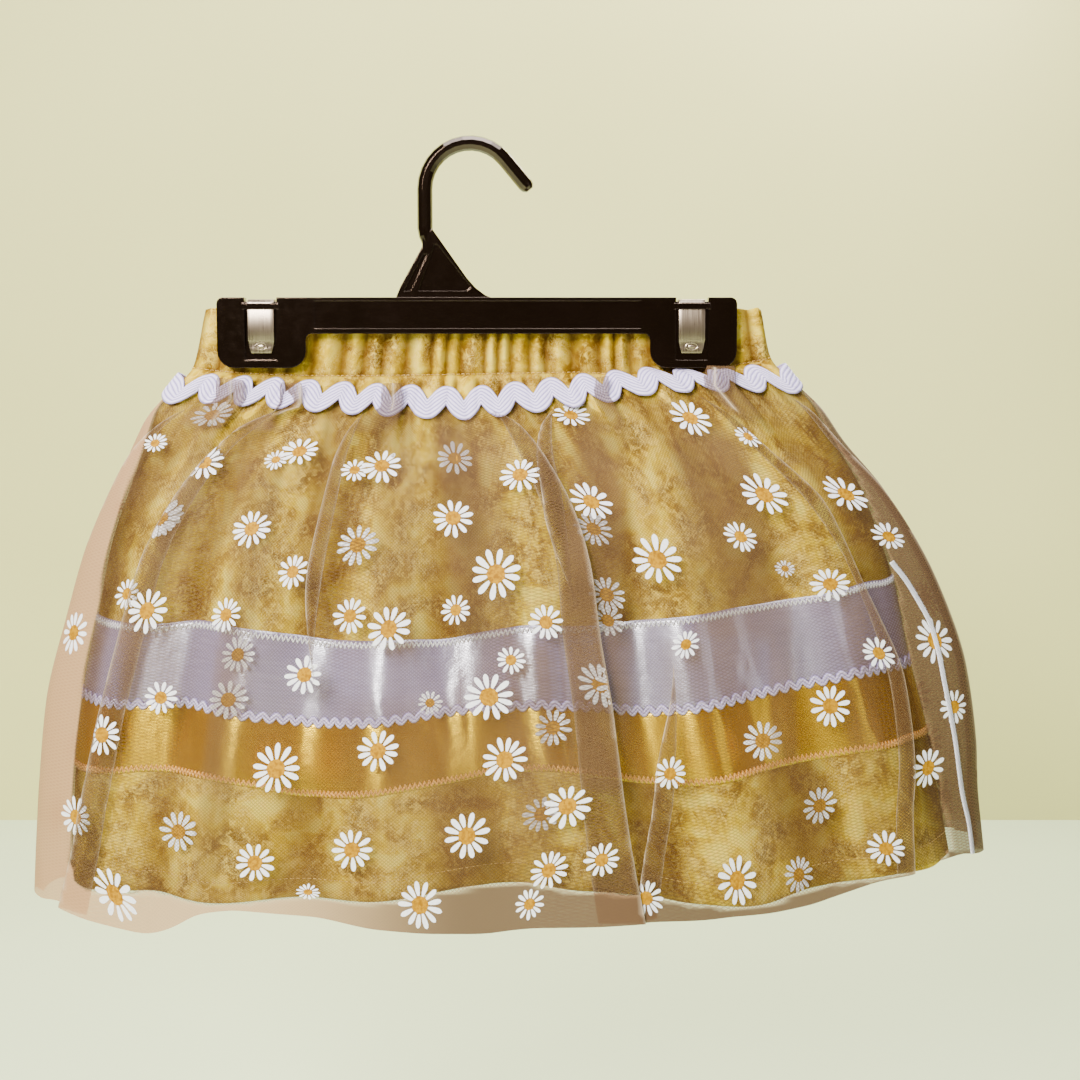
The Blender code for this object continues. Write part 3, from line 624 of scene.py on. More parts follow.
def black_polystyrene():
    """Moulded high-gloss polystyrene: deep black with a slight waviness and faint rubbed marks."""
    material, tree = new_material("black_polystyrene")
    place = add_node(tree, "TexCoord", output="Object")
    flow = add_node(tree, "TexNoise", place, Scale=45.0, Detail=2.0)
    tint = add_node(tree, "ValToRGB", flow, steps=[(0.3, "#030201"), (0.7, "#070403")])
    rub = add_node(tree, "TexNoise", place, Scale=260.0, Detail=4.0, Roughness=0.7)
    rough = add_node(tree, "MapRange", rub, From_Min=0.4, From_Max=0.75, To_Min=0.07, To_Max=0.12)
    edges = add_node(tree, "Bevel", Radius=0.0006, samples=4)
    bump = add_node(tree, "Bump", Height=flow, Strength=0.3, Distance=0.0002, Normal=edges)
    return finished(
        material, Roughness=rough, IOR=1.58, Coat_Weight=0.3, Coat_Roughness=0.04,
        Specular_Tint="#FFDCC4", Base_Color=tint, Normal=bump,
    )


def spring_steel():
    """Bright rolled spring steel: metal with a fine grain along the strip."""
    material, tree = new_material("spring_steel")
    place = add_node(tree, "TexCoord", output="Object")
    drawn = add_node(tree, "Mapping", place, Scale=(1500, 1500, 60))
    grain = add_node(tree, "TexNoise", drawn, Scale=1.0, Detail=3.0)
    tint = add_node(tree, "ValToRGB", grain, steps=[(0.3, "#8E8072"), (0.7, "#A69886")])
    rough = add_node(tree, "MapRange", grain, From_Min=0.3, From_Max=0.7, To_Min=0.26, To_Max=0.34)
    return finished(material, Roughness=rough, Metallic=1.0, Anisotropic=0.4, Base_Color=tint)


def painted_board(name, base, shade):
    """A matt painted surface with a little roller texture."""
    material, tree = new_material(name)
    place = add_node(tree, "TexCoord", output="Object")
    tone = add_node(tree, "TexNoise", place, Scale=2.0)
    tint = add_node(tree, "ValToRGB", tone, steps=[(0.3, shade), (0.7, base)])
    return finished(material, Roughness=0.9, Base_Color=tint)


def finish_piece(obj, material, node=None):
    """Gives a finished piece its material, ties it to the skirt and hides the solid that it stands for."""
    if material is not None:
        obj.data.materials.append(material)
    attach(obj, "root")
    if node:
        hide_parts(node)
    return obj


def object_from(name, points, faces):
    """A smooth-shaded mesh object from points in mm."""
    mesh = bpy.data.meshes.new(name)
    mesh.from_pydata((np.asarray(points) * MM).tolist(), [], [tuple(face) for face in faces])
    mesh.update()
    mesh.shade_smooth()
    obj = bpy.data.objects.new(name, mesh)
    bpy.context.scene.collection.objects.link(obj)
    return obj


def grid_faces(rows, columns):
    """The corners of each face of a grid of points, as the points' numbers."""
    index = np.arange(rows * columns).reshape(rows, columns)
    corners = (index[:-1, :-1], index[1:, :-1], index[1:, 1:], index[:-1, 1:])
    return np.stack([corner.ravel() for corner in corners], axis=1)


def cloth_piece(name, sheet, material, node, thickness=0.0, flat_down=None, marks=None):
    """A piece of cloth with its flat cut as UV map and any named marks, as an open surface or a shell."""
    rows, columns = sheet.points.shape[:2]
    faces = grid_faces(rows, columns)
    if sheet.side == BACK:
        faces = faces[:, ::-1]
    obj = object_from(name, sheet.points.reshape(-1, 3), faces.tolist())
    across = np.linspace(0, sheet.width, columns)
    down = sheet.down if flat_down is None else flat_down
    flat = np.stack(np.broadcast_arrays(across[None, :], -down[:, None]), axis=-1).reshape(-1, 2) * MM
    layer = obj.data.uv_layers.new(name="cloth")
    layer.data.foreach_set("uv", flat[faces.ravel()].astype(np.float32).ravel())
    for mark, values in (marks or {}).items():
        attribute = obj.data.attributes.new(mark, "FLOAT", "POINT")
        attribute.data.foreach_set("value", np.ascontiguousarray(values, np.float32).ravel())
    if thickness:
        thicken(obj, thickness)
    return finish_piece(obj, material, node)


def thicken(obj, thickness):
    """Turns a surface into a shell of a thickness in mm, half to each side."""
    shell = obj.modifiers.new("thickness", "SOLIDIFY")
    shell.thickness = thickness * MM
    shell.offset = 0.0
    apply_modifiers(obj)


def apply_modifiers(obj):
    """Applies an object's modifiers in turn."""
    bpy.ops.object.select_all(action="DESELECT")
    obj.select_set(True)
    bpy.context.view_layer.objects.active = obj
    for step in list(obj.modifiers):
        bpy.ops.object.modifier_apply(modifier=step.name)


def thread_piece(name, paths, normals, material, radius, sides, squash=1.0):
    """One mesh of round threads along paths in mm, pressed flat by squash along the paths' normals."""
    points, faces = [], []
    start = 0
    for path, up in zip(paths, normals):
        forward = unit(np.gradient(path, axis=0))
        side = unit(np.cross(forward, up))
        rise = np.cross(side, forward)
        for turn in np.arange(sides) * 2 * math.pi / sides:
            points.append(path + side * math.cos(turn) * radius + rise * math.sin(turn) * radius * squash)
        count = len(path)
        ring = np.arange(count)
        for i in range(sides):
            near = start + i * count + ring
            far = start + (i + 1) % sides * count + ring
            faces.append(np.stack([near[:-1], far[:-1], far[1:], near[1:]], axis=1))
        ends = start + np.arange(sides) * count
        faces.append(ends[None, ::-1])
        faces.append((ends + count - 1)[None, :])
        start += sides * count
    listed = [row for faces_alike in faces for row in faces_alike.tolist()]
    return finish_piece(object_from(name, np.concatenate(points), listed), material)


# Thicknesses, the steps across and down each cloth, how far the ribbons lie off the cotton, and how far the
# hem's stitching runs above its edge.
CLOTH = 0.5
COTTON_COLUMNS = 230
COTTON_STEP = 2.5
NET_COLUMNS = 330
NET_STEP = 2.5
RIBBON_OUT = 0.5
RIBBON = 0.3
HEM_TURN = 9.0


def spaced_places(levels, step, first, last):
    """Places from one level to another, about a step apart in mm down the skirt's middle."""
    rows = levels.rows
    lengths = np.hypot(np.diff(rows[:, 3]), np.diff(rows[:, 5]))
    down = np.concatenate([[0], np.cumsum(lengths)])
    count = max(2, int(round((down[last] - down[first]) / step)) + 1)
    return np.interp(np.linspace(down[first], down[last], count), down, np.arange(len(down)))


def hanging_panel(levels, places, side, columns, folds, lines, relief):
    """A panel on the given levels with its folds, its sewn lines and its smaller relief, and how far out
    each point stands."""
    shares = np.linspace(0, 1, columns + 1)
    first, last = relief["first"], relief["last"]
    rows, rises = [], []
    for place in places:
        ring = HalfRing(levels.at(place), side)
        down = (place - first) / (last - first)
        height, slide = fold_heights(folds, shares, min(max(down, 0), 1), relief["growth"])
        points, out, _ = ring.at(shares + slide * off_edges(shares, 0.03) / ring.length)
        small = relief["heights"](shares, max(down, 0), ring.length)
        points = points + out * (height + small * off_edges(shares, 0.02))[:, None]
        points[:, 2] += lines.at(place, points[:, 0])
        rows.append(points)
        rises.append(height + small)
    return np.array(rows), np.array(rises)


def cotton_sheet(side):
    """The skirt's body: broad folds, soft creases from the gathers and fine gathers along the seam."""
    levels = Levels(LEVELS)
    fine = Ripples(11 + side, 46, 0.42)

    def heights(shares, down, length):
        small = crease_heights(COTTON_CREASES[side], shares, down, length)
        return small + 1.5 * (fine.at(shares, down) - 0.35 * max(0, 1 - down / 0.3))

    relief = {"first": PLACE["gather"], "last": PLACE["hem"], "heights": heights, "growth": 0.6}
    places = spaced_places(levels, COTTON_STEP, PLACE["seam"], PLACE["hem"])
    sewn = SewnLines(levels, {PLACE[name]: line for name, line in FRONT_LINES.items()}, side)
    points, rises = hanging_panel(levels, places, side, COTTON_COLUMNS, COTTON_FOLDS[side], sewn, relief)
    down = np.linspace(0, 1, len(places))[:, None]
    full = 1.5 + 6.5 * down**0.6
    # Painted shade, darkest in the troughs between the folds and a little weaker just under the seam.
    painted_hollow_shades = 0.72 * (1 - smooth(rises / full, -0.1, 0.75)) * (0.55 + 0.45 * smooth(down, 0.0, 0.2))
    return Sheet(points, side), places, painted_hollow_shades


def net_levels():
    """The net's own levels: the cotton's from the waist seam down, eased out and dropped towards the hem."""
    levels = []
    for ease in NET_EASE:
        place = PLACE[ease.level]
        under = LEVELS[place]
        down = max(0, (place - PLACE["hip_3"]) / (PLACE["hem"] - PLACE["hip_3"])) ** 1.5
        levels.append(
            under._replace(
                left=under.left - ease.left,
                right=under.right + ease.right,
                depth=under.depth + ease.depth,
                z_left=under.z_left - NET_DROP_LEFT * down,
                z_middle=under.z_middle - NET_DROP_MIDDLE * down,
                z_right=under.z_right - NET_DROP_RIGHT * down,
            )
        )
    return Levels(levels)


def fold_edges(points):
    """Marks each row's turning points, where the cloth stops running one way and starts back."""
    steps = np.sign(np.diff(points[:, :, 0], axis=1))
    turned = np.zeros(points.shape[:2])
    turned[:, 1:-1] = steps[:, 1:] * steps[:, :-1] < 0
    beside = np.zeros_like(turned)
    beside[:, 1:-1] = np.maximum(turned[:, 2:], turned[:, :-2]) * 0.25
    return np.maximum(turned, beside)


class Veil(NamedTuple):
    """A strip where the net lies double or bunched: its middle and half width at its top and its foot, as
    places in the 1080 by 1080 picture, and how much of it the threads close, 0 to 1."""

    x_top: float
    y_top: float
    x_foot: float
    y_foot: float
    half_top: float
    half_foot: float
    strength: float


VEILS = [Veil(*row) for row in (
    (207, 425, 160, 600, 12, 24, 0.30), (262, 462, 234, 645, 24, 16, 0.30),
    (234, 645, 203, 885, 18, 15, 0.34), (150, 615, 150, 700, 34, 30, 0.22),
    (393, 425, 394, 650, 22, 22, 0.28), (467, 425, 486, 640, 33, 30, 0.40),
    (486, 640, 462, 885, 30, 46, 0.28), (392, 700, 385, 870, 55, 60, 0.16),
    (527, 640, 536, 905, 26, 28, 0.42), (601, 415, 590, 640, 27, 30, 0.34),
    (598, 640, 590, 790, 40, 30, 0.32), (708, 430, 738, 640, 40, 44, 0.34),
    (712, 640, 708, 700, 52, 45, 0.22), (780, 600, 784, 760, 12, 14, 0.32),
    (785, 765, 795, 860, 36, 36, 0.24), (850, 600, 880, 860, 14, 20, 0.24),
)]


def picture_places(points):
    """Where points show in the 1080 by 1080 picture."""
    away = points - np.array(CAMERA)
    ahead = away @ np.array([0, math.cos(CAMERA_PITCH), -math.sin(CAMERA_PITCH)])
    above = away @ np.array([0, math.sin(CAMERA_PITCH), math.cos(CAMERA_PITCH)])
    scale = PHOTO_HALF / math.tan(CAMERA_FIELD / 2)
    return PHOTO_HALF + scale * away[..., 0] / ahead, PHOTO_HALF - scale * above / ahead


def net_closeness(net, cotton, over):
    """How far the net's threads close up at each point, and how far painted shade darkens them: they close up
    in the strips where it is bunched and beyond the skirt's sides and hem, where it turns away and its layers
    lie together, and the painted shade lies beyond the sides and hem, strongest towards the right."""
    seen = []
    for sheet in (net, cotton):
        points = sheet.points.copy()
        if sheet.side == BACK:
            points[..., 1] = 2 * SKIRT_Y - points[..., 1]
        seen.append(picture_places(points))
    (x, y), (cotton_x, cotton_y) = seen
    close = np.zeros(x.shape)
    for veil in VEILS:
        down = (y - veil.y_top) / (veil.y_foot - veil.y_top)
        middle = veil.x_top + (veil.x_foot - veil.x_top) * down
        half = veil.half_top + (veil.half_foot - veil.half_top) * np.clip(down, 0, 1)
        band = 1 - smooth(np.abs(x - middle) / half, 0.78, 1.15)
        alive = smooth(down, -0.06, 0.04) * (1 - smooth(down, 0.96, 1.06))
        close = np.maximum(close, veil.strength * band * alive)
    rows = np.arange(len(cotton_x))
    first, last = cotton_x.argmin(axis=1), cotton_x.argmax(axis=1)
    left = np.interp(y, cotton_y[rows, first], cotton_x[rows, first])
    right = np.interp(y, cotton_y[rows, last], cotton_x[rows, last])
    past = np.maximum(left - x, x - right)
    lower = y - np.interp(x, cotton_x[-1], cotton_y[-1])
    beside = 0.85 * smooth(past, -1, 5) + 0.15 * smooth(past, -36, 0)
    below = 0.70 * smooth(lower, -1, 4) + 0.30 * smooth(lower, -48, 0)
    beyond = np.maximum(beside, below)
    # Painted shade beyond the skirt's sides and hem: faint at the far left and strong from a little left of
    # the middle rightwards; it also closes the threads a little more.
    painted_shade_and_density = beyond * (0.12 + 0.72 * smooth(x, 230, 470))
    close = np.maximum(close, beside * (0.72 + 0.06 * painted_shade_and_density))
    close = np.maximum(close, below * (0.74 + 0.25 * painted_shade_and_density))
    close[:PUFFED_ROWS] = np.maximum(close[:PUFFED_ROWS], 0.40 * over)
    return close, painted_shade_and_density


# Stretches of the front's waist seam where a fold of the net puffs up over the wide rickrack, as x in mm.
PUFFS = {
    FRONT: [(-123.0, -107.0), (-91.0, -80.0), (-43.0, -32.0), (59.5, 67.5), (112.0, 127.5)],
    BACK: [(-120.0, -108.0), (-70.0, -57.0), (-8.0, 4.0), (48.0, 58.0), (108.0, 121.0)],
}
PUFF_RISE = 9.5
PUFF_OUT = 7.0
PUFF_ROWS = 9
BLEND_ROWS = 16
# The puffs' rows and the first rows under them are seen through more cloth.
PUFFED_ROWS = 16


def net_sheet(side):
    """The overskirt: gathered into the seam under the wide rickrack, and up over it in a few puffs."""
    levels = net_levels()
    fine = Ripples(23 + side, 38, 0.9)
    broad = Ripples(31 + side, 15, 1.2)

    def heights(shares, down, length):
        grown = smooth(down, 0.0, 0.12)
        fade = 1 - smooth(down, 0.25, 0.9)
        return 0.5 + (0.5 + 2.0 * grown * fade) * fine.at(shares, down) + 2.2 * grown * broad.at(shares, down)

    last = len(NET_EASE) - 1
    relief = {"first": 0.3, "last": last, "heights": heights, "growth": 0.35}
    places = spaced_places(levels, NET_STEP, 0, last)
    sewn = SewnLines(levels, {last: NET_HEM_LINE}, side)
    points, _ = hanging_panel(levels, places, side, NET_COLUMNS, NET_FOLDS[side], sewn, relief)
    top = points[0]
    over = np.zeros(len(top))
    for low, high in PUFFS[side]:
        middle, half = (low + high) / 2, (high - low) / 2
        over = np.maximum(over, 1 - smooth(np.abs(top[:, 0] - middle) / half, 0.8, 1.1))
    out = Sheet(points, side).normals[2] * [1, 1, 0]
    puffed = []
    for step in range(PUFF_ROWS):
        share = 1 - step / PUFF_ROWS
        lift = PUFF_RISE * math.sin(math.pi / 2 * share)
        bulge = PUFF_OUT * (1 - 0.4 * share**5)
        row = top + out * (over * bulge)[:, None]
        row[:, 2] += over * lift - (1 - over) * 0.02 * step
        puffed.append(row)
    for i in range(BLEND_ROWS):
        points[i] += out * (over * PUFF_OUT * (1 - smooth(i, 3, BLEND_ROWS)))[:, None]
    return Sheet(np.concatenate([np.array(puffed), points]), side), over


RIBBON_ROWS = 17
RIBBON_PUCKERS = 26


def ribbon_sheet(cotton, places, low, high, side):
    """A ribbon lying on the cotton between two places, a little puckered along its stitched edges."""
    at = np.interp(np.linspace(low, high, RIBBON_ROWS), places, np.arange(len(places)))
    columns = np.arange(cotton.points.shape[1])
    points, normals = cotton.sample(at[:, None] + 0 * columns, columns[None, :] + 0 * at[:, None])
    shares = columns / columns[-1]
    down = np.linspace(-1, 1, RIBBON_ROWS)[:, None]
    chance = np.random.default_rng(int(low * 10) + 5 + side)
    pucker = np.zeros((RIBBON_ROWS, len(columns)))
    for _ in range(RIBBON_PUCKERS):
        centre = chance.uniform(0.02, 0.98)
        half = chance.uniform(0.006, 0.016)
        tip = chance.uniform(-0.02, 0.02) * down
        bump = hump(np.abs(shares[None, :] - centre - tip) / half)
        which = down * chance.choice([-1, 1])
        pucker += chance.uniform(0.25, 0.7) * bump * smooth(which, -0.6, 1.0)
    heights = RIBBON_OUT + 0.25 * (1 - np.abs(down) ** 3) + pucker * 0.8
    return Sheet(points + normals * heights[..., None], side, flat_width=cotton.width)


CASING_ROWS = 26
RUFFLE_ROWS = 18
CASING_COLUMNS = 360


def waistband_sheet(side):
    """The elastic casing and the ruffle under its stitching, gathered unevenly and flat inside the clips."""
    levels = Levels(LEVELS)
    sewn = SewnLines(levels, {PLACE["seam"]: FRONT_LINES["seam"]}, side)
    upper = Ripples(41 + side, 28, 1.0, 1.25)
    lower = Ripples(47 + side, 32, 1.0, 1.6)
    places = np.concatenate([np.linspace(0, 1, CASING_ROWS), np.linspace(1, 2, RUFFLE_ROWS)[1:]])
    shares = np.linspace(0, 1, CASING_COLUMNS + 1)
    rows, painted_hollow_shades = [], []
    for place in places:
        ring = HalfRing(levels.at(place), side)
        points, out, depth = ring.at(shares)
        pinched = pinch_at(points[:, 0]) * levels.at(place).pinch
        room = np.clip(depth - 0.5, 0, 2.4)
        if place <= 1:
            above = 1 - 0.55 * smooth(place, 0.55, 1.0) - 0.25 * (1 - smooth(place, 0.0, 0.12))
            height = 8.0 * above * (upper.at(shares) - 0.32)
            painted_hollow_shade = np.clip(1.15 - 2.0 * upper.at(shares), 0, 1)
        else:
            below = place - 1
            puff = math.sin(math.pi * min(1, below * 0.85)) ** 0.8
            height = 2.6 * (1 - smooth(below, 0, 0.5)) * (upper.at(shares) - 0.35)
            height = height + 5.4 * puff * (lower.at(shares) - 0.2)
            painted_hollow_shade = np.clip(1.15 - 2.2 * lower.at(shares), 0, 1) * smooth(below, 0.0, 0.3)
        stitched = math.exp(-(((place - 1) / 0.05) ** 2))
        height = height - 0.9 * stitched
        # Painted shade in the valleys between the gathers, and along the stitching where the cloth is pinched
        # in.
        painted_hollow_shades.append(np.maximum(0.85 * painted_hollow_shade, 0.5 * stitched))
        height = np.clip(height, -room, 3.4) * (1 - 0.9 * pinched)
        points = points + out * (height * off_edges(shares, 0.015))[:, None]
        points[:, 2] += sewn.at(place, points[:, 0])
        if place < 0.2:
            points[:, 2] += (1 - place / 0.2) * 1.6 * (upper.at(shares) - 0.5) * (1 - pinched)
        rows.append(points)
    return Sheet(np.array(rows), side), np.array(painted_hollow_shades)


WIDE_WAVES = 18
WIDE_LENGTH = 312.0
WIDE_TAPE = 8.3
WIDE_SWING = 4.8
WIDE_OUT = 3.0
WIDE_THICK = 1.1


def wave_edges(phase, pitch, tape, swing):
    """The two edges of a tape of one width bent along a wave: round crests, and notches between them."""
    reach = np.linspace(-1, 1, 41) * tape / 2
    cap = np.sqrt(np.maximum((tape / 2) ** 2 - reach**2, 0))
    path = swing * np.cos(phase[:, None] + 2 * math.pi * reach[None, :] / pitch)
    return (path + cap).max(axis=1), (path - cap).min(axis=1)


def wide_rickrack_sheet(side):
    """The wide rickrack over the waist seam, riding over the gathers under it."""
    levels = Levels(LEVELS)
    sewn = SewnLines(levels, {PLACE["seam"]: FRONT_LINES["seam"]}, side)
    columns = WIDE_WAVES * 22
    shares = np.linspace(0, 1, columns + 1)
    chance = np.random.default_rng(61 + side)
    drift = np.interp(shares, np.linspace(0, 1, 19), chance.uniform(-0.35, 0.35, 19))
    phase = 2 * math.pi * WIDE_WAVES * shares + drift
    rows = []
    under = []
    for name in ("casing_stitch", "seam", "gather"):
        points, _, _ = HalfRing(levels.at(PLACE[name]), side).at(shares)
        points[:, 2] += sewn.at(PLACE["seam"], points[:, 0])
        under.append(points)
    base = Sheet(np.array(under), side)
    bumps = Ripples(53 + side, 40, 1.0).at(shares)
    upper, lower = wave_edges(phase, WIDE_LENGTH / WIDE_WAVES, WIDE_TAPE, WIDE_SWING)
    for t in np.linspace(-1, 1, 19):
        rise = lower + (upper - lower) * (t + 1) / 2
        above = rise > 0
        towards = np.where(above[:, None], base.points[0], base.points[2])
        share = (np.abs(rise) / np.linalg.norm(towards - base.points[1], axis=-1))[:, None]
        points = base.points[1] * (1 - share) + towards * share
        normals = base.normals[1] * 0.75 + np.where(above[:, None], base.normals[0], base.normals[2]) * 0.25
        rib = 0.13 * abs(math.sin(math.pi * 3 * (t + 1)))
        out = WIDE_OUT + 0.35 * (1 - t**4) + rib + bumps * (1 - 0.3 * t)
        rows.append(points + unit(normals * [1, 1, 0.35]) * out[:, None])
    return Sheet(np.array(rows[::-1]), side)


SMALL_PITCH = 6.6
SMALL_TAPE = 2.7
SMALL_SWING = 1.4
SMALL_THICK = 0.5


def small_rickrack(name, ribbon_joint, material, half):
    """The narrow rickrack over the joint of the two ribbons: a little ribbed tape bent into even waves."""
    length = ribbon_joint.width
    waves = int(round(length / SMALL_PITCH))
    columns = np.linspace(0, ribbon_joint.points.shape[1] - 1, waves * 14 + 1)
    phase = 2 * math.pi * waves * columns / columns[-1]
    upper, lower = wave_edges(phase, SMALL_PITCH, SMALL_TAPE, SMALL_SWING)
    spacing = (ribbon_joint.down[-1] - ribbon_joint.down[0]) / (len(ribbon_joint.points) - 1)
    middle = (len(ribbon_joint.points) - 1) / 2
    rows = []
    for t in np.linspace(-1, 1, 9):
        rise = lower + (upper - lower) * (t + 1) / 2
        points, normals = ribbon_joint.sample(middle - rise / spacing, columns)
        rib = 0.12 * abs(math.sin(math.pi * 2 * (t + 1)))
        rows.append(points + normals * (0.45 + 0.35 * (1 - t**4) + rib))
    sheet = Sheet(np.array(rows[::-1]), ribbon_joint.side, flat_width=length)
    flat_down = np.linspace(0, SMALL_TAPE, len(rows))
    return cloth_piece(name, sheet, material, f"small_rickrack_{half}", SMALL_THICK, flat_down)


def zigzag(sheet, row, pitch, height, out):
    """The path of a zigzag stitch along one row of a sheet, and the normals along it."""
    count = int(sheet.width / (pitch / 2))
    corners = np.arange(count + 1)
    spacing = (sheet.down[-1] - sheet.down[0]) / (len(sheet.points) - 1)
    rise = np.where(corners % 2 == 0, height / 2, -height / 2)
    fine = np.linspace(0, count, count * 3 + 1)
    columns = fine / count * (sheet.points.shape[1] - 1)
    rows = row + np.interp(fine, corners, rise) / spacing
    points, normals = sheet.sample(rows, columns)
    lift = out + 0.12 * np.abs(np.sin(math.pi * fine))
    return points + normals * lift[:, None], normals


def running_stitch(sheet, row, length, gap, out):
    """Separate stitches along one row of a sheet: a list of short paths and their normals."""
    count = int(sheet.width / (length + gap))
    paths, ups = [], []
    for i in range(count):
        start = i / count * (sheet.points.shape[1] - 1)
        stop = start + length / (length + gap) / count * (sheet.points.shape[1] - 1)
        points, normals = sheet.sample(np.full(4, row), np.linspace(start, stop, 4))
        lift = out + np.array([-0.25, 0.1, 0.1, -0.25])
        paths.append(points + normals * lift[:, None])
        ups.append(normals)
    return paths, ups


class Daisy(NamedTuple):
    """One printed flower on the front of the net: where it shows, its width in mm, and whether a second
    layer of net lies over it."""

    x: float
    y: float
    width: float
    veiled: bool = False


DAISIES = [Daisy(*row) for row in (
    (155, 444, 12.5), (205, 463, 19.5), (300, 452, 19.0), (276, 460, 12.0), (355, 471, 13.5),
    (382, 466, 20.0), (252, 529, 19.0), (161, 518, 21.0, True), (293, 572, 15.0), (358, 545, 20.0, True),
    (127, 594, 14.0), (147, 612, 20.0), (226, 615, 15.0), (350, 616, 16.0), (389, 629, 21.0),
    (238, 655, 17.0, True), (305, 675, 20.0), (161, 698, 17.0), (102, 735, 20.0), (74, 633, 20.0),
    (228, 700, 20.0, True), (276, 769, 24.0), (378, 751, 20.0), (430, 703, 12.0, True), (76, 817, 20.0),
    (178, 832, 20.0, True), (255, 863, 20.0), (308, 892, 12.0), (352, 850, 20.0), (114, 894, 22.0),
    (420, 905, 21.0), (453, 518, 20.0), (455, 458, 18.0, True), (520, 475, 20.0), (496, 574, 24.0),
    (456, 610, 14.0), (489, 697, 24.0), (511, 660, 14.0), (590, 500, 20.0), (592, 528, 18.0, True),
    (689, 418, 20.0), (657, 560, 24.0), (606, 594, 18.0, True), (607, 620, 16.0, True), (546, 622, 17.0),
    (600, 685, 22.0, True), (553, 728, 18.0, True), (686, 645, 14.0), (740, 536, 16.0), (762, 495, 22.0),
    (745, 436, 12.0), (785, 568, 10.0, True), (845, 494, 20.0), (887, 536, 18.0), (830, 584, 20.0),
    (878, 653, 16.0), (830, 706, 21.0), (763, 741, 20.0, True), (670, 774, 16.0), (467, 836, 22.0),
    (505, 760, 22.0), (542, 815, 18.0, True), (568, 806, 23.0), (549, 872, 18.0), (602, 861, 17.0),
    (530, 905, 14.0), (646, 898, 17.0), (737, 880, 20.0), (820, 806, 18.0, True), (799, 875, 15.0, True),
    (885, 847, 20.0), (928, 768, 20.0), (934, 640, 22.0), (954, 707, 18.0), (773, 383, 20.0),
    (570, 415, 18.0), (213, 415, 20.0, True),
)]
MOST_BEHIND = 25
NET_SEAM = [(890, 562), (905, 579), (920, 605), (929, 620), (942, 673), (948, 703), (957, 758), (968, 820)]


def sight_line(x, y):
    """The direction from the camera through a point of the 1080 by 1080 picture."""
    half = math.tan(CAMERA_FIELD / 2)
    forward = Vector((0, math.cos(CAMERA_PITCH), -math.sin(CAMERA_PITCH)))
    up = Vector((0, math.sin(CAMERA_PITCH), math.cos(CAMERA_PITCH)))
    across = (x - PHOTO_HALF) / PHOTO_HALF * half
    rise = (PHOTO_HALF - y) / PHOTO_HALF * half
    return (forward + Vector((1, 0, 0)) * across + up * rise).normalized()


class NetFinder:
    """Finds places on the net's grid by sight lines, and measures along its rows."""

    def __init__(self, sheet):
        self.sheet = sheet
        rows, columns = sheet.points.shape[:2]
        self.columns = columns - 1
        corners = [tuple(point) for point in sheet.points.reshape(-1, 3)]
        self.tree = BVHTree.FromPolygons(corners, grid_faces(rows, columns).tolist())
        steps = np.linalg.norm(np.diff(sheet.points, axis=1), axis=-1)
        self.run = np.concatenate([np.zeros((rows, 1)), np.cumsum(steps, axis=1)], axis=1)

    def place(self, hit, face):
        """The fractional row and column of a point on a face."""
        row, column = divmod(face, self.columns)
        corner = Vector(self.sheet.points[row, column])
        right = Vector(self.sheet.points[row, column + 1]) - corner
        below = Vector(self.sheet.points[row + 1, column]) - corner
        from_corner = hit - corner
        c = min(max(from_corner.dot(right) / max(right.length_squared, 1e-9), 0), 1)
        r = min(max(from_corner.dot(below) / max(below.length_squared, 1e-9), 0), 1)
        return row + r, column + c

    def look(self, spot):
        """The place seen at a spot of the picture, or on the next layer behind it where it is veiled."""
        heading = sight_line(spot.x, spot.y)
        hit, _, face, _ = self.tree.ray_cast(CAMERA, heading)
        if hit is None:
            return None
        found = self.place(hit, face)
        if spot.veiled:
            behind, _, next_face, _ = self.tree.ray_cast(hit + heading * 0.2, heading)
            if behind is not None and (behind - hit).length < MOST_BEHIND:
                found = self.place(behind, next_face)
        return found

    def around(self, place, offsets):
        """Rows and columns of flat offsets in mm round a place, across the cloth and down it."""
        row, column = place
        low = min(int(row), len(self.run) - 2)
        step = max(self.sheet.down[low + 1] - self.sheet.down[low], 0.3)
        rows = np.clip(row + offsets[:, 1] / step, 0, len(self.run) - 1)
        columns = np.arange(self.run.shape[1])
        found = np.empty(len(offsets))
        for k, (at, (across, _)) in enumerate(zip(rows, offsets)):
            nearest = self.run[int(round(at))]
            found[k] = np.interp(np.interp(column, columns, nearest) + across, nearest, columns)
        return rows, found


def daisy_outline(width, turn, petals):
    """A daisy's points and faces in mm on the flat cloth: petals narrow at the base, round at the tip."""
    radius = width / 2
    points, petal_faces = [], []
    stations = ((0.34, 0.035), (0.50, 0.080), (0.68, 0.112), (0.84, 0.112), (0.94, 0.078))
    for k in range(petals):
        angle = turn + 2 * math.pi * (k + 0.12 * math.sin(5.1 * k + width)) / petals
        reach = radius * (1 - 0.07 * abs(math.sin(2.3 * k + turn)))
        ahead = np.array([math.cos(angle), math.sin(angle)])
        beside = np.array([-ahead[1], ahead[0]])
        scale = reach * 12.5 / petals
        start = len(points)
        for along, half in stations:
            middle, offset = ahead * reach * along, beside * scale * half
            points += [middle - offset, middle + offset]
        points.append(ahead * reach)
        for i in range(len(stations) - 1):
            k0 = start + 2 * i
            petal_faces.append((k0, k0 + 2, k0 + 3, k0 + 1))
        petal_faces.append((start + 8, start + 10, start + 9))
    centre = len(points)
    points.append(np.zeros(2))
    count = 14
    eye = 0.37 * radius
    for k in range(count):
        angle = 2 * math.pi * k / count
        wobble = eye * (1 + 0.05 * math.sin(3 * k + width))
        points.append(np.array([math.cos(angle), math.sin(angle)]) * wobble)
    centre_faces = [(centre, centre + 1 + k, centre + 1 + (k + 1) % count) for k in range(count)]
    return np.array(points), petal_faces, centre_faces, centre


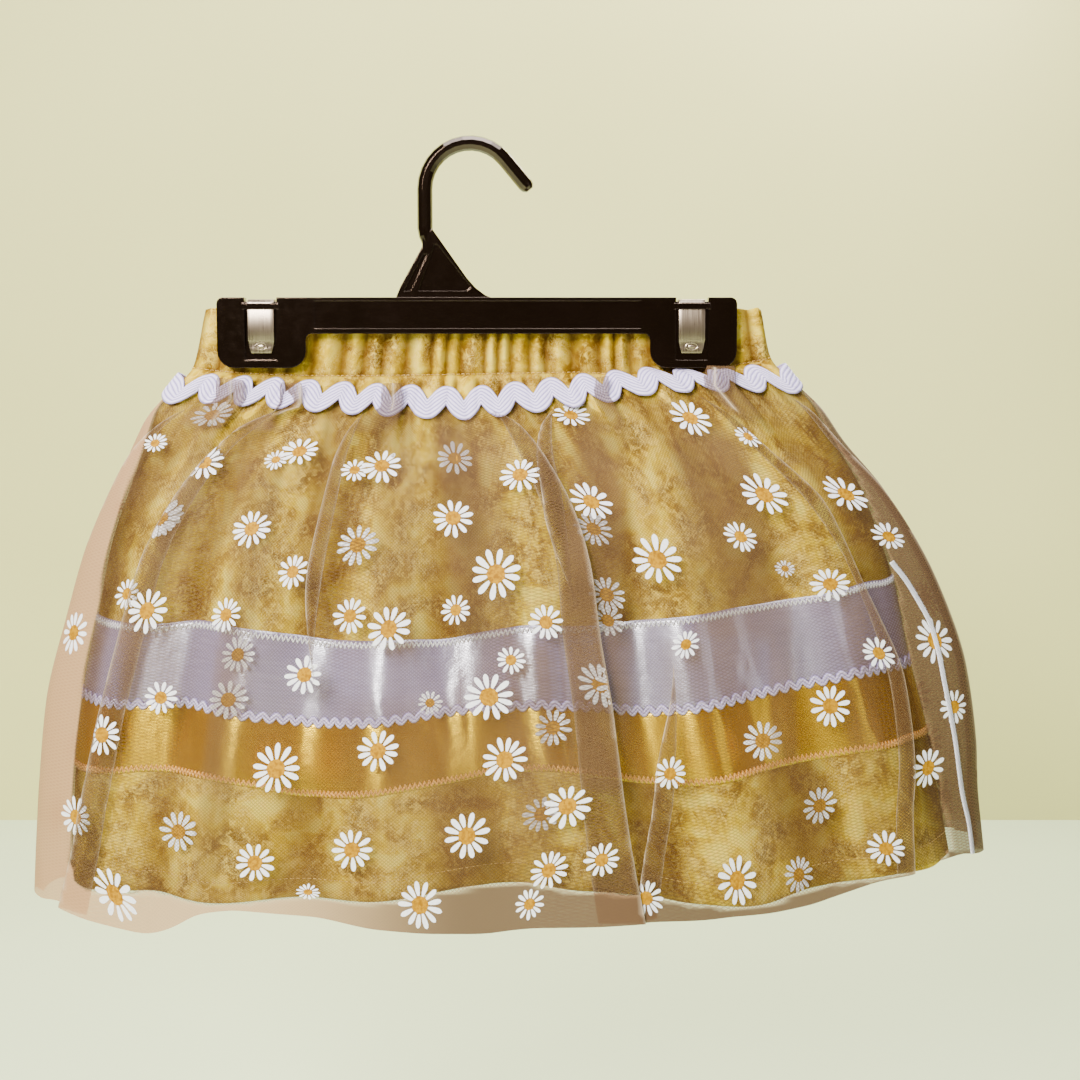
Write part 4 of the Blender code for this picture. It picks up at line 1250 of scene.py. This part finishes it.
def print_daisies(name, finder, flowers, petal_ink, centre_ink):
    """All the flowers of one net panel as one mesh, each laid along the cloth so that it wraps its folds."""
    points, faces, kinds = [], [], []
    start = 0
    for k, (place, width, behind) in enumerate(flowers):
        petals = 12 + (k % 3 == 0)
        flat, petal_faces, centre_faces, centre = daisy_outline(width, 1.7 * k, petals)
        rows, columns = finder.around(place, flat)
        at, normals = finder.sheet.sample(rows, columns)
        lift = np.full(len(flat), -0.3 if behind else 0.15)
        lift[centre:] += 0.1
        points.append(at + normals * lift[:, None])
        for group, kind in ((petal_faces, 0), (centre_faces, 1)):
            for face in group:
                faces.append([start + corner for corner in face])
                kinds.append(kind)
        start += len(flat)
    obj = object_from(name, np.concatenate(points), faces)
    obj.data.materials.append(petal_ink)
    obj.data.materials.append(centre_ink)
    obj.data.polygons.foreach_set("material_index", kinds)
    return finish_piece(obj, None)


def scattered(finder, seed, spacing):
    """Flowers scattered over a panel in a loose half-drop layout, the same on each run."""
    chance = np.random.default_rng(seed)
    height = finder.sheet.down[-1]
    found = []
    for i, down in enumerate(np.arange(14, height - 6, spacing * 0.72)):
        row = float(np.interp(down, finder.sheet.down, np.arange(len(finder.sheet.down))))
        run = finder.run[int(round(row))]
        for across in np.arange(8 + (i % 2) * spacing / 2, run[-1] - 8, spacing):
            shift = chance.uniform(-0.26, 0.26, 2) * spacing
            at = np.clip(across + shift[0], 8, run[-1] - 8)
            column = float(np.interp(at, run, np.arange(len(run))))
            place = (float(np.clip(row + shift[1] / 2.5, 4, len(run) - 2)), column)
            found.append((place, float(chance.choice([12.5, 14.5, 17.0, 19.5, 21.0, 22.5])), False))
    return found


def serged_seam(finder, material):
    """The net's overlocked side seam: a cord of threads with loops over it, running down the right."""
    places = [finder.look(Daisy(x, y, 0)) for x, y in NET_SEAM]
    places = np.array([place for place in places if place is not None])
    order = np.argsort(places[:, 0])
    rows = np.linspace(places[order[0], 0], len(finder.sheet.points) - 1, 420)
    columns = np.interp(rows, places[order, 0], places[order, 1])
    kernel = np.ones(31) / 31
    columns = np.convolve(np.pad(columns, 15, mode="edge"), kernel, mode="valid")
    points, normals = finder.sheet.sample(rows, columns)
    beside = np.cross(unit(np.gradient(points, axis=0)), normals)
    sway = np.where(np.arange(len(rows)) % 2 == 0, 1.25, -1.25)
    loops = points + beside * sway[:, None] + normals * 0.45
    cords = [points + beside * offset + normals * 0.25 for offset in (-0.9, 0.0, 0.9)]
    thread_piece("net_side_seam", [loops, *cords], [normals] * 4, material, 0.42, 5, 0.8)


def build_cloth():
    """Every cloth piece, front and back, with its stitching."""
    cotton_cloth = printed_cotton()
    white = satin("white_satin_ribbon", "#9C92BC", "#A49AC4", "#9288B2", "#F4F6FF", 2.6)
    yellow = satin("yellow_satin_ribbon", "#9E6800", "#A67000", "#925C00", "#FFD810", 3.4)
    braid = ribbed_braid()
    net_cloth = nylon_net()
    petal_ink = printed_ink("white_print_ink", "#F6F6FC", "#E8E8F4", 900.0)
    centre_ink = printed_ink("golden_print_ink", "#B28000", "#8C5E00", 700.0)
    white_thread = sewing_thread("white_thread", "#FAFAFF", "#DADAEC")
    gold_thread = sewing_thread("golden_thread", "#F2B450", "#C8862C")
    yellow_thread = sewing_thread("yellow_thread", "#E5BE55", "#A97A1C")
    top, joint, bottom = PLACE["white_top"], PLACE["joint"], PLACE["yellow_bottom"]
    for side, half in ((FRONT, "front"), (BACK, "back")):
        casing, painted_hollow_shades = waistband_sheet(side)
        marks = {"painted_hollow_shade": painted_hollow_shades}
        name = f"gathered_waistband_{half}"
        band = cloth_piece(name, casing, cotton_cloth, f"waistband_{half}", CLOTH, marks=marks)
        paths, ups = running_stitch(casing, CASING_ROWS - 1, 2.3, 0.9, 0.45)
        stitches = thread_piece(f"casing_stitches_{half}", paths, ups, yellow_thread, 0.2, 4)

        cotton, places, painted_hollow_shades = cotton_sheet(side)
        marks = {"painted_hollow_shade": painted_hollow_shades}
        name = f"skirt_body_{half}"
        body = cloth_piece(name, cotton, cotton_cloth, f"cotton_{half}", CLOTH, marks=marks)
        paths, ups = running_stitch(cotton, len(cotton.points) - 1 - HEM_TURN / COTTON_STEP, 2.2, 0.8, 0.35)
        hem_line = thread_piece(f"hem_stitches_{half}", paths, ups, yellow_thread, 0.17, 4)

        upper = ribbon_sheet(cotton, places, top, joint, side)
        upper_ribbon = cloth_piece(
            f"white_satin_{half}", upper, white, f"white_ribbon_{half}", RIBBON
        )
        lower = ribbon_sheet(cotton, places, joint, bottom, side)
        lower_ribbon = cloth_piece(
            f"yellow_satin_{half}", lower, yellow, f"yellow_ribbon_{half}", RIBBON
        )
        path, ups = zigzag(upper, 1.0, 2.6, 3.2, 0.4)
        top_stitch = thread_piece(f"white_zigzag_{half}", [path], [ups], white_thread, 0.4, 5, 0.8)
        path, ups = zigzag(lower, RIBBON_ROWS - 2.0, 2.4, 3.3, 0.38)
        low_stitch = thread_piece(f"golden_zigzag_{half}", [path], [ups], gold_thread, 0.4, 5, 0.8)

        rows = np.array([upper.points[-3], upper.points[-1], lower.points[2]])
        small = small_rickrack(f"narrow_rickrack_{half}", Sheet(rows, side, cotton.width), braid, half)
        tape = wide_rickrack_sheet(side)
        flat_down = np.linspace(0, WIDE_TAPE, len(tape.points))
        wide = cloth_piece(
            f"waist_rickrack_{half}", tape, braid, f"wide_rickrack_{half}", WIDE_THICK, flat_down
        )

        net, over = net_sheet(side)
        close, painted_shade_and_density = net_closeness(net, cotton, over)
        marks = {"fold_edge_and_highlight": fold_edges(net.points), "closeness": close, "painted_shade_and_density": painted_shade_and_density}
        veil = cloth_piece(f"overskirt_{half}", net, net_cloth, f"net_{half}", marks=marks)
        finder = NetFinder(net)
        if side == FRONT:
            seen = [(finder.look(daisy), daisy.width, daisy.veiled) for daisy in DAISIES]
            flowers = [flower for flower in seen if flower[0] is not None]
            serged_seam(finder, white_thread)
        else:
            flowers = scattered(finder, 77, 47.0)
        print_piece = print_daisies(f"printed_daisies_{half}", finder, flowers, petal_ink, centre_ink)


# The room and its lights are measured in metres.
FLOOR_Z = -0.595
WALL_Y = 1.0
ROOM_WIDTH = 4.0
FLOOR_DEPTH = 2.8
ROOM_X = 0.03


class Lamp(NamedTuple):
    """A square light: where it stands, where it points, its size, its power in watts and its tint."""

    name: str
    place: tuple
    target: tuple
    size: float
    power: float
    tint: str


LAMPS = [
    Lamp("window", (-0.66, -1.0, 0.66), (-0.03, 0.0, -0.22), 0.45, 30.0, "#FFF9F0"),
    Lamp("front", (-0.40, -1.18, 0.31), (-0.03, 0.0, -0.24), 0.30, 28.0, "#FFFAF2"),
    Lamp("fill", (1.0, -0.9, -0.05), (0.03, 0.0, -0.24), 0.5, 1.5, "#F6F7FF"),
    Lamp("overhead", (0.1, -0.2, 0.8), (0.03, 0.0, -0.2), 0.4, 3.0, "#FFFFFF"),
    Lamp("rear_window", (0.45, 0.86, 0.62), (0.02, 0.0, -0.22), 0.45, 14.0, "#FFF9F0"),
    Lamp("wall_wash", (0.0, 0.3, 1.35), (0.03, 1.0, 0.0), 1.2, 46.0, "#FFFFFF"),
]


def add_board(name, depth, middle, turn, paint):
    """A flat painted board as wide as the room, lying down or turned up on its edge."""
    bpy.ops.object.select_all(action="DESELECT")
    bpy.ops.mesh.primitive_plane_add(size=1, rotation=(turn, 0, 0))
    bpy.ops.object.transform_apply(location=False, rotation=True, scale=False)
    board = bpy.context.object
    board.name = name
    for vert in board.data.vertices:
        vert.co = Vector((vert.co.x * ROOM_WIDTH, vert.co.y * depth, vert.co.z * depth)) + Vector(middle)
    board.data.materials.append(paint)
    return board


def build_stage():
    """A pale floor that meets a pale wall, soft studio light and the camera."""
    scene = bpy.context.scene
    floor = add_board("floor", FLOOR_DEPTH, (ROOM_X, WALL_Y - FLOOR_DEPTH / 2, FLOOR_Z), 0,
                      painted_board("pale_floor", "#E2F0C6", "#DCEAC0"))
    wall = add_board("wall", ROOM_WIDTH, (ROOM_X, WALL_Y, FLOOR_Z + ROOM_WIDTH / 2), math.radians(90),
                     painted_board("pale_wall", "#E6E29C", "#DEDA94"))
    for row in LAMPS:
        light = bpy.data.lights.new(row.name, "AREA")
        light.size = row.size
        light.energy = row.power
        light.color = colour(row.tint)[:3]
        lamp = bpy.data.objects.new(row.name, light)
        lamp.location = row.place
        lamp.visible_camera = False
        lamp.rotation_euler = (Vector(row.target) - Vector(row.place)).to_track_quat("-Z", "Y").to_euler()
        scene.collection.objects.link(lamp)
    scene.world = bpy.data.worlds.new("soft_room")
    scene.world.use_nodes = True
    tree = scene.world.node_tree
    rays = add_node(tree, "LightPath").node
    # The room lights the skirt dimly, shows warm in what is glossy, and is pale behind it.
    room = tree.nodes["Background"]
    set_inputs(room, {"Color": "#E9E8E0", "Strength": 0.12})
    mirrored = add_node(tree, "Background", "#B89878", 0.32)
    distance = add_node(tree, "Background", "#E4E2BE", 2.4)
    glossy = add_node(tree, "MixShader", rays.outputs["Is Glossy Ray"], room.outputs[0], mirrored)
    seen = add_node(tree, "MixShader", rays.outputs["Is Camera Ray"], glossy, distance)
    set_inputs(tree.nodes["World Output"], {"Surface": seen})
    lens = bpy.data.cameras.new("camera")
    lens.angle = CAMERA_FIELD
    camera = bpy.data.objects.new("camera", lens)
    camera.location = CAMERA * MM
    camera.rotation_euler = (math.radians(90) - CAMERA_PITCH, 0, 0)
    scene.collection.objects.link(camera)
    scene.camera = camera


STRIP_HALF = 6.3
STRIP_ROUTE = [(-1.65, -96.2), (-1.65, -93.6), (-1.65, -90.4), (-1.65, -72.0), (-1.2, -70.95), (-0.2, -70.75),
               (10.9, -70.75), (12.1, -71.0), (12.55, -72.2), (12.55, -95.0)]
STRIP_THICK = 0.9
RIB_INSIDE = 4.3
RIB_TOP = -72
RIB_FOOT = -90
RIB_RISE = 0.55
TAPER_TOP = -92
TAPER_FOOT = -95
DIMPLE_Z = -93.0


def select_faces(obj, chosen):
    """Selects the faces that the test picks, by centre and normal in mm, and leaves edit mode open."""
    bpy.ops.object.mode_set(mode="OBJECT")
    for part in (obj.data.vertices, obj.data.edges):
        part.foreach_set("select", [False] * len(part))
    for face in obj.data.polygons:
        face.select = chosen(face.center / MM, face.normal)
    bpy.ops.object.mode_set(mode="EDIT")
    bpy.ops.mesh.select_mode(type="FACE")


def spring_strip(name, centre, steel):
    """One clip's spring: a strip bent over the plate, with a raised rib up each side and a pressed dimple."""
    bpy.ops.object.select_all(action="DESELECT")
    y, z = STRIP_ROUTE[0]
    bpy.ops.mesh.primitive_plane_add(size=2 * STRIP_HALF * MM, location=(centre * MM, y * MM, z * MM))
    strip = bpy.context.object
    strip.name = name
    bpy.ops.object.transform_apply(location=True)
    bpy.ops.object.mode_set(mode="EDIT")
    bpy.ops.mesh.select_mode(type="VERT")
    bpy.ops.mesh.select_all(action="DESELECT")
    bpy.ops.object.mode_set(mode="OBJECT")
    for vert in strip.data.vertices:
        vert.select = vert.co.y > y * MM
    bpy.ops.object.mode_set(mode="EDIT")
    bpy.ops.mesh.delete(type="VERT")
    bpy.ops.mesh.select_all(action="SELECT")
    bpy.ops.transform.translate(value=(0, STRIP_HALF * MM, 0))
    for (y0, z0), (y1, z1) in zip(STRIP_ROUTE, STRIP_ROUTE[1:]):
        step = (0, (y1 - y0) * MM, (z1 - z0) * MM)
        bpy.ops.mesh.extrude_region_move(TRANSFORM_OT_translate={"value": step})
    for offset in (-RIB_INSIDE, RIB_INSIDE):
        bpy.ops.mesh.select_all(action="SELECT")
        bpy.ops.mesh.bisect(plane_co=((centre + offset) * MM, 0, 0), plane_no=(1, 0, 0))
    bpy.ops.mesh.select_all(action="SELECT")
    bpy.ops.mesh.normals_make_consistent(inside=False)
    bpy.ops.object.mode_set(mode="OBJECT")
    thicken(strip, STRIP_THICK)
    # The front leg narrows below its ribs.
    for vert in strip.data.vertices:
        if vert.co.z < TAPER_TOP * MM and vert.co.y < 5 * MM:
            across = vert.co.x - centre * MM
            vert.co.x = centre * MM + across * (0.76 if vert.co.z < TAPER_FOOT * MM else 0.9)
    select_faces(
        strip,
        lambda at, normal: normal.y < -0.9
        and at.y < 0
        and abs(at.x - centre) > RIB_INSIDE
        and RIB_FOOT < at.z < RIB_TOP,
    )
    bpy.ops.mesh.extrude_region_move(TRANSFORM_OT_translate={"value": (0, -RIB_RISE * MM, 0)})
    bpy.ops.object.mode_set(mode="OBJECT")
    bpy.ops.object.select_all(action="DESELECT")
    bpy.ops.mesh.primitive_torus_add(
        major_radius=2.3 * MM,
        minor_radius=0.4 * MM,
        major_segments=32,
        minor_segments=8,
        location=(centre * MM, -2.15 * MM, DIMPLE_Z * MM),
        rotation=(math.radians(90), 0, 0),
    )
    dimple = bpy.context.object
    dimple.scale = (1.25, 0.72, 1.0)
    bpy.ops.object.transform_apply(location=True, rotation=True, scale=True)
    bpy.ops.object.select_all(action="DESELECT")
    bpy.ops.mesh.primitive_uv_sphere_add(
        segments=24, ring_count=12, radius=1.5 * MM, location=(centre * MM, -2.0 * MM, DIMPLE_Z * MM)
    )
    bowl = bpy.context.object
    bowl.scale = (1.3, 0.3, 0.75)
    bpy.ops.object.transform_apply(location=True, rotation=True, scale=True)
    bpy.ops.object.select_all(action="DESELECT")
    for piece in (dimple, bowl, strip):
        piece.select_set(True)
    bpy.context.view_layer.objects.active = strip
    edge = strip.modifiers.new("soft_edges", "BEVEL")
    edge.width = 0.18 * MM
    edge.segments = 2
    edge.limit_method = "ANGLE"
    edge.angle_limit = math.radians(40)
    apply_modifiers(strip)
    for piece in (dimple, bowl):
        piece.select_set(True)
    bpy.ops.object.join()
    bpy.ops.object.shade_smooth_by_angle(angle=math.radians(35))
    finish_piece(strip, steel, name.replace("spring_strip", "clip_spring"))


def dress_hanger():
    """The moulded hanger, its rear jaws and its spring strips."""
    plastic = black_polystyrene()
    steel = spring_steel()
    for name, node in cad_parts.items():
        if "hanger" in name or "jaw" in name:
            node.data.materials.clear()
            node.data.materials.append(plastic)
    for half, centre in CLIP_CENTRES.items():
        spring_strip(f"spring_strip_{half}", centre, steel)


build_cloth()
dress_hanger()
build_stage()
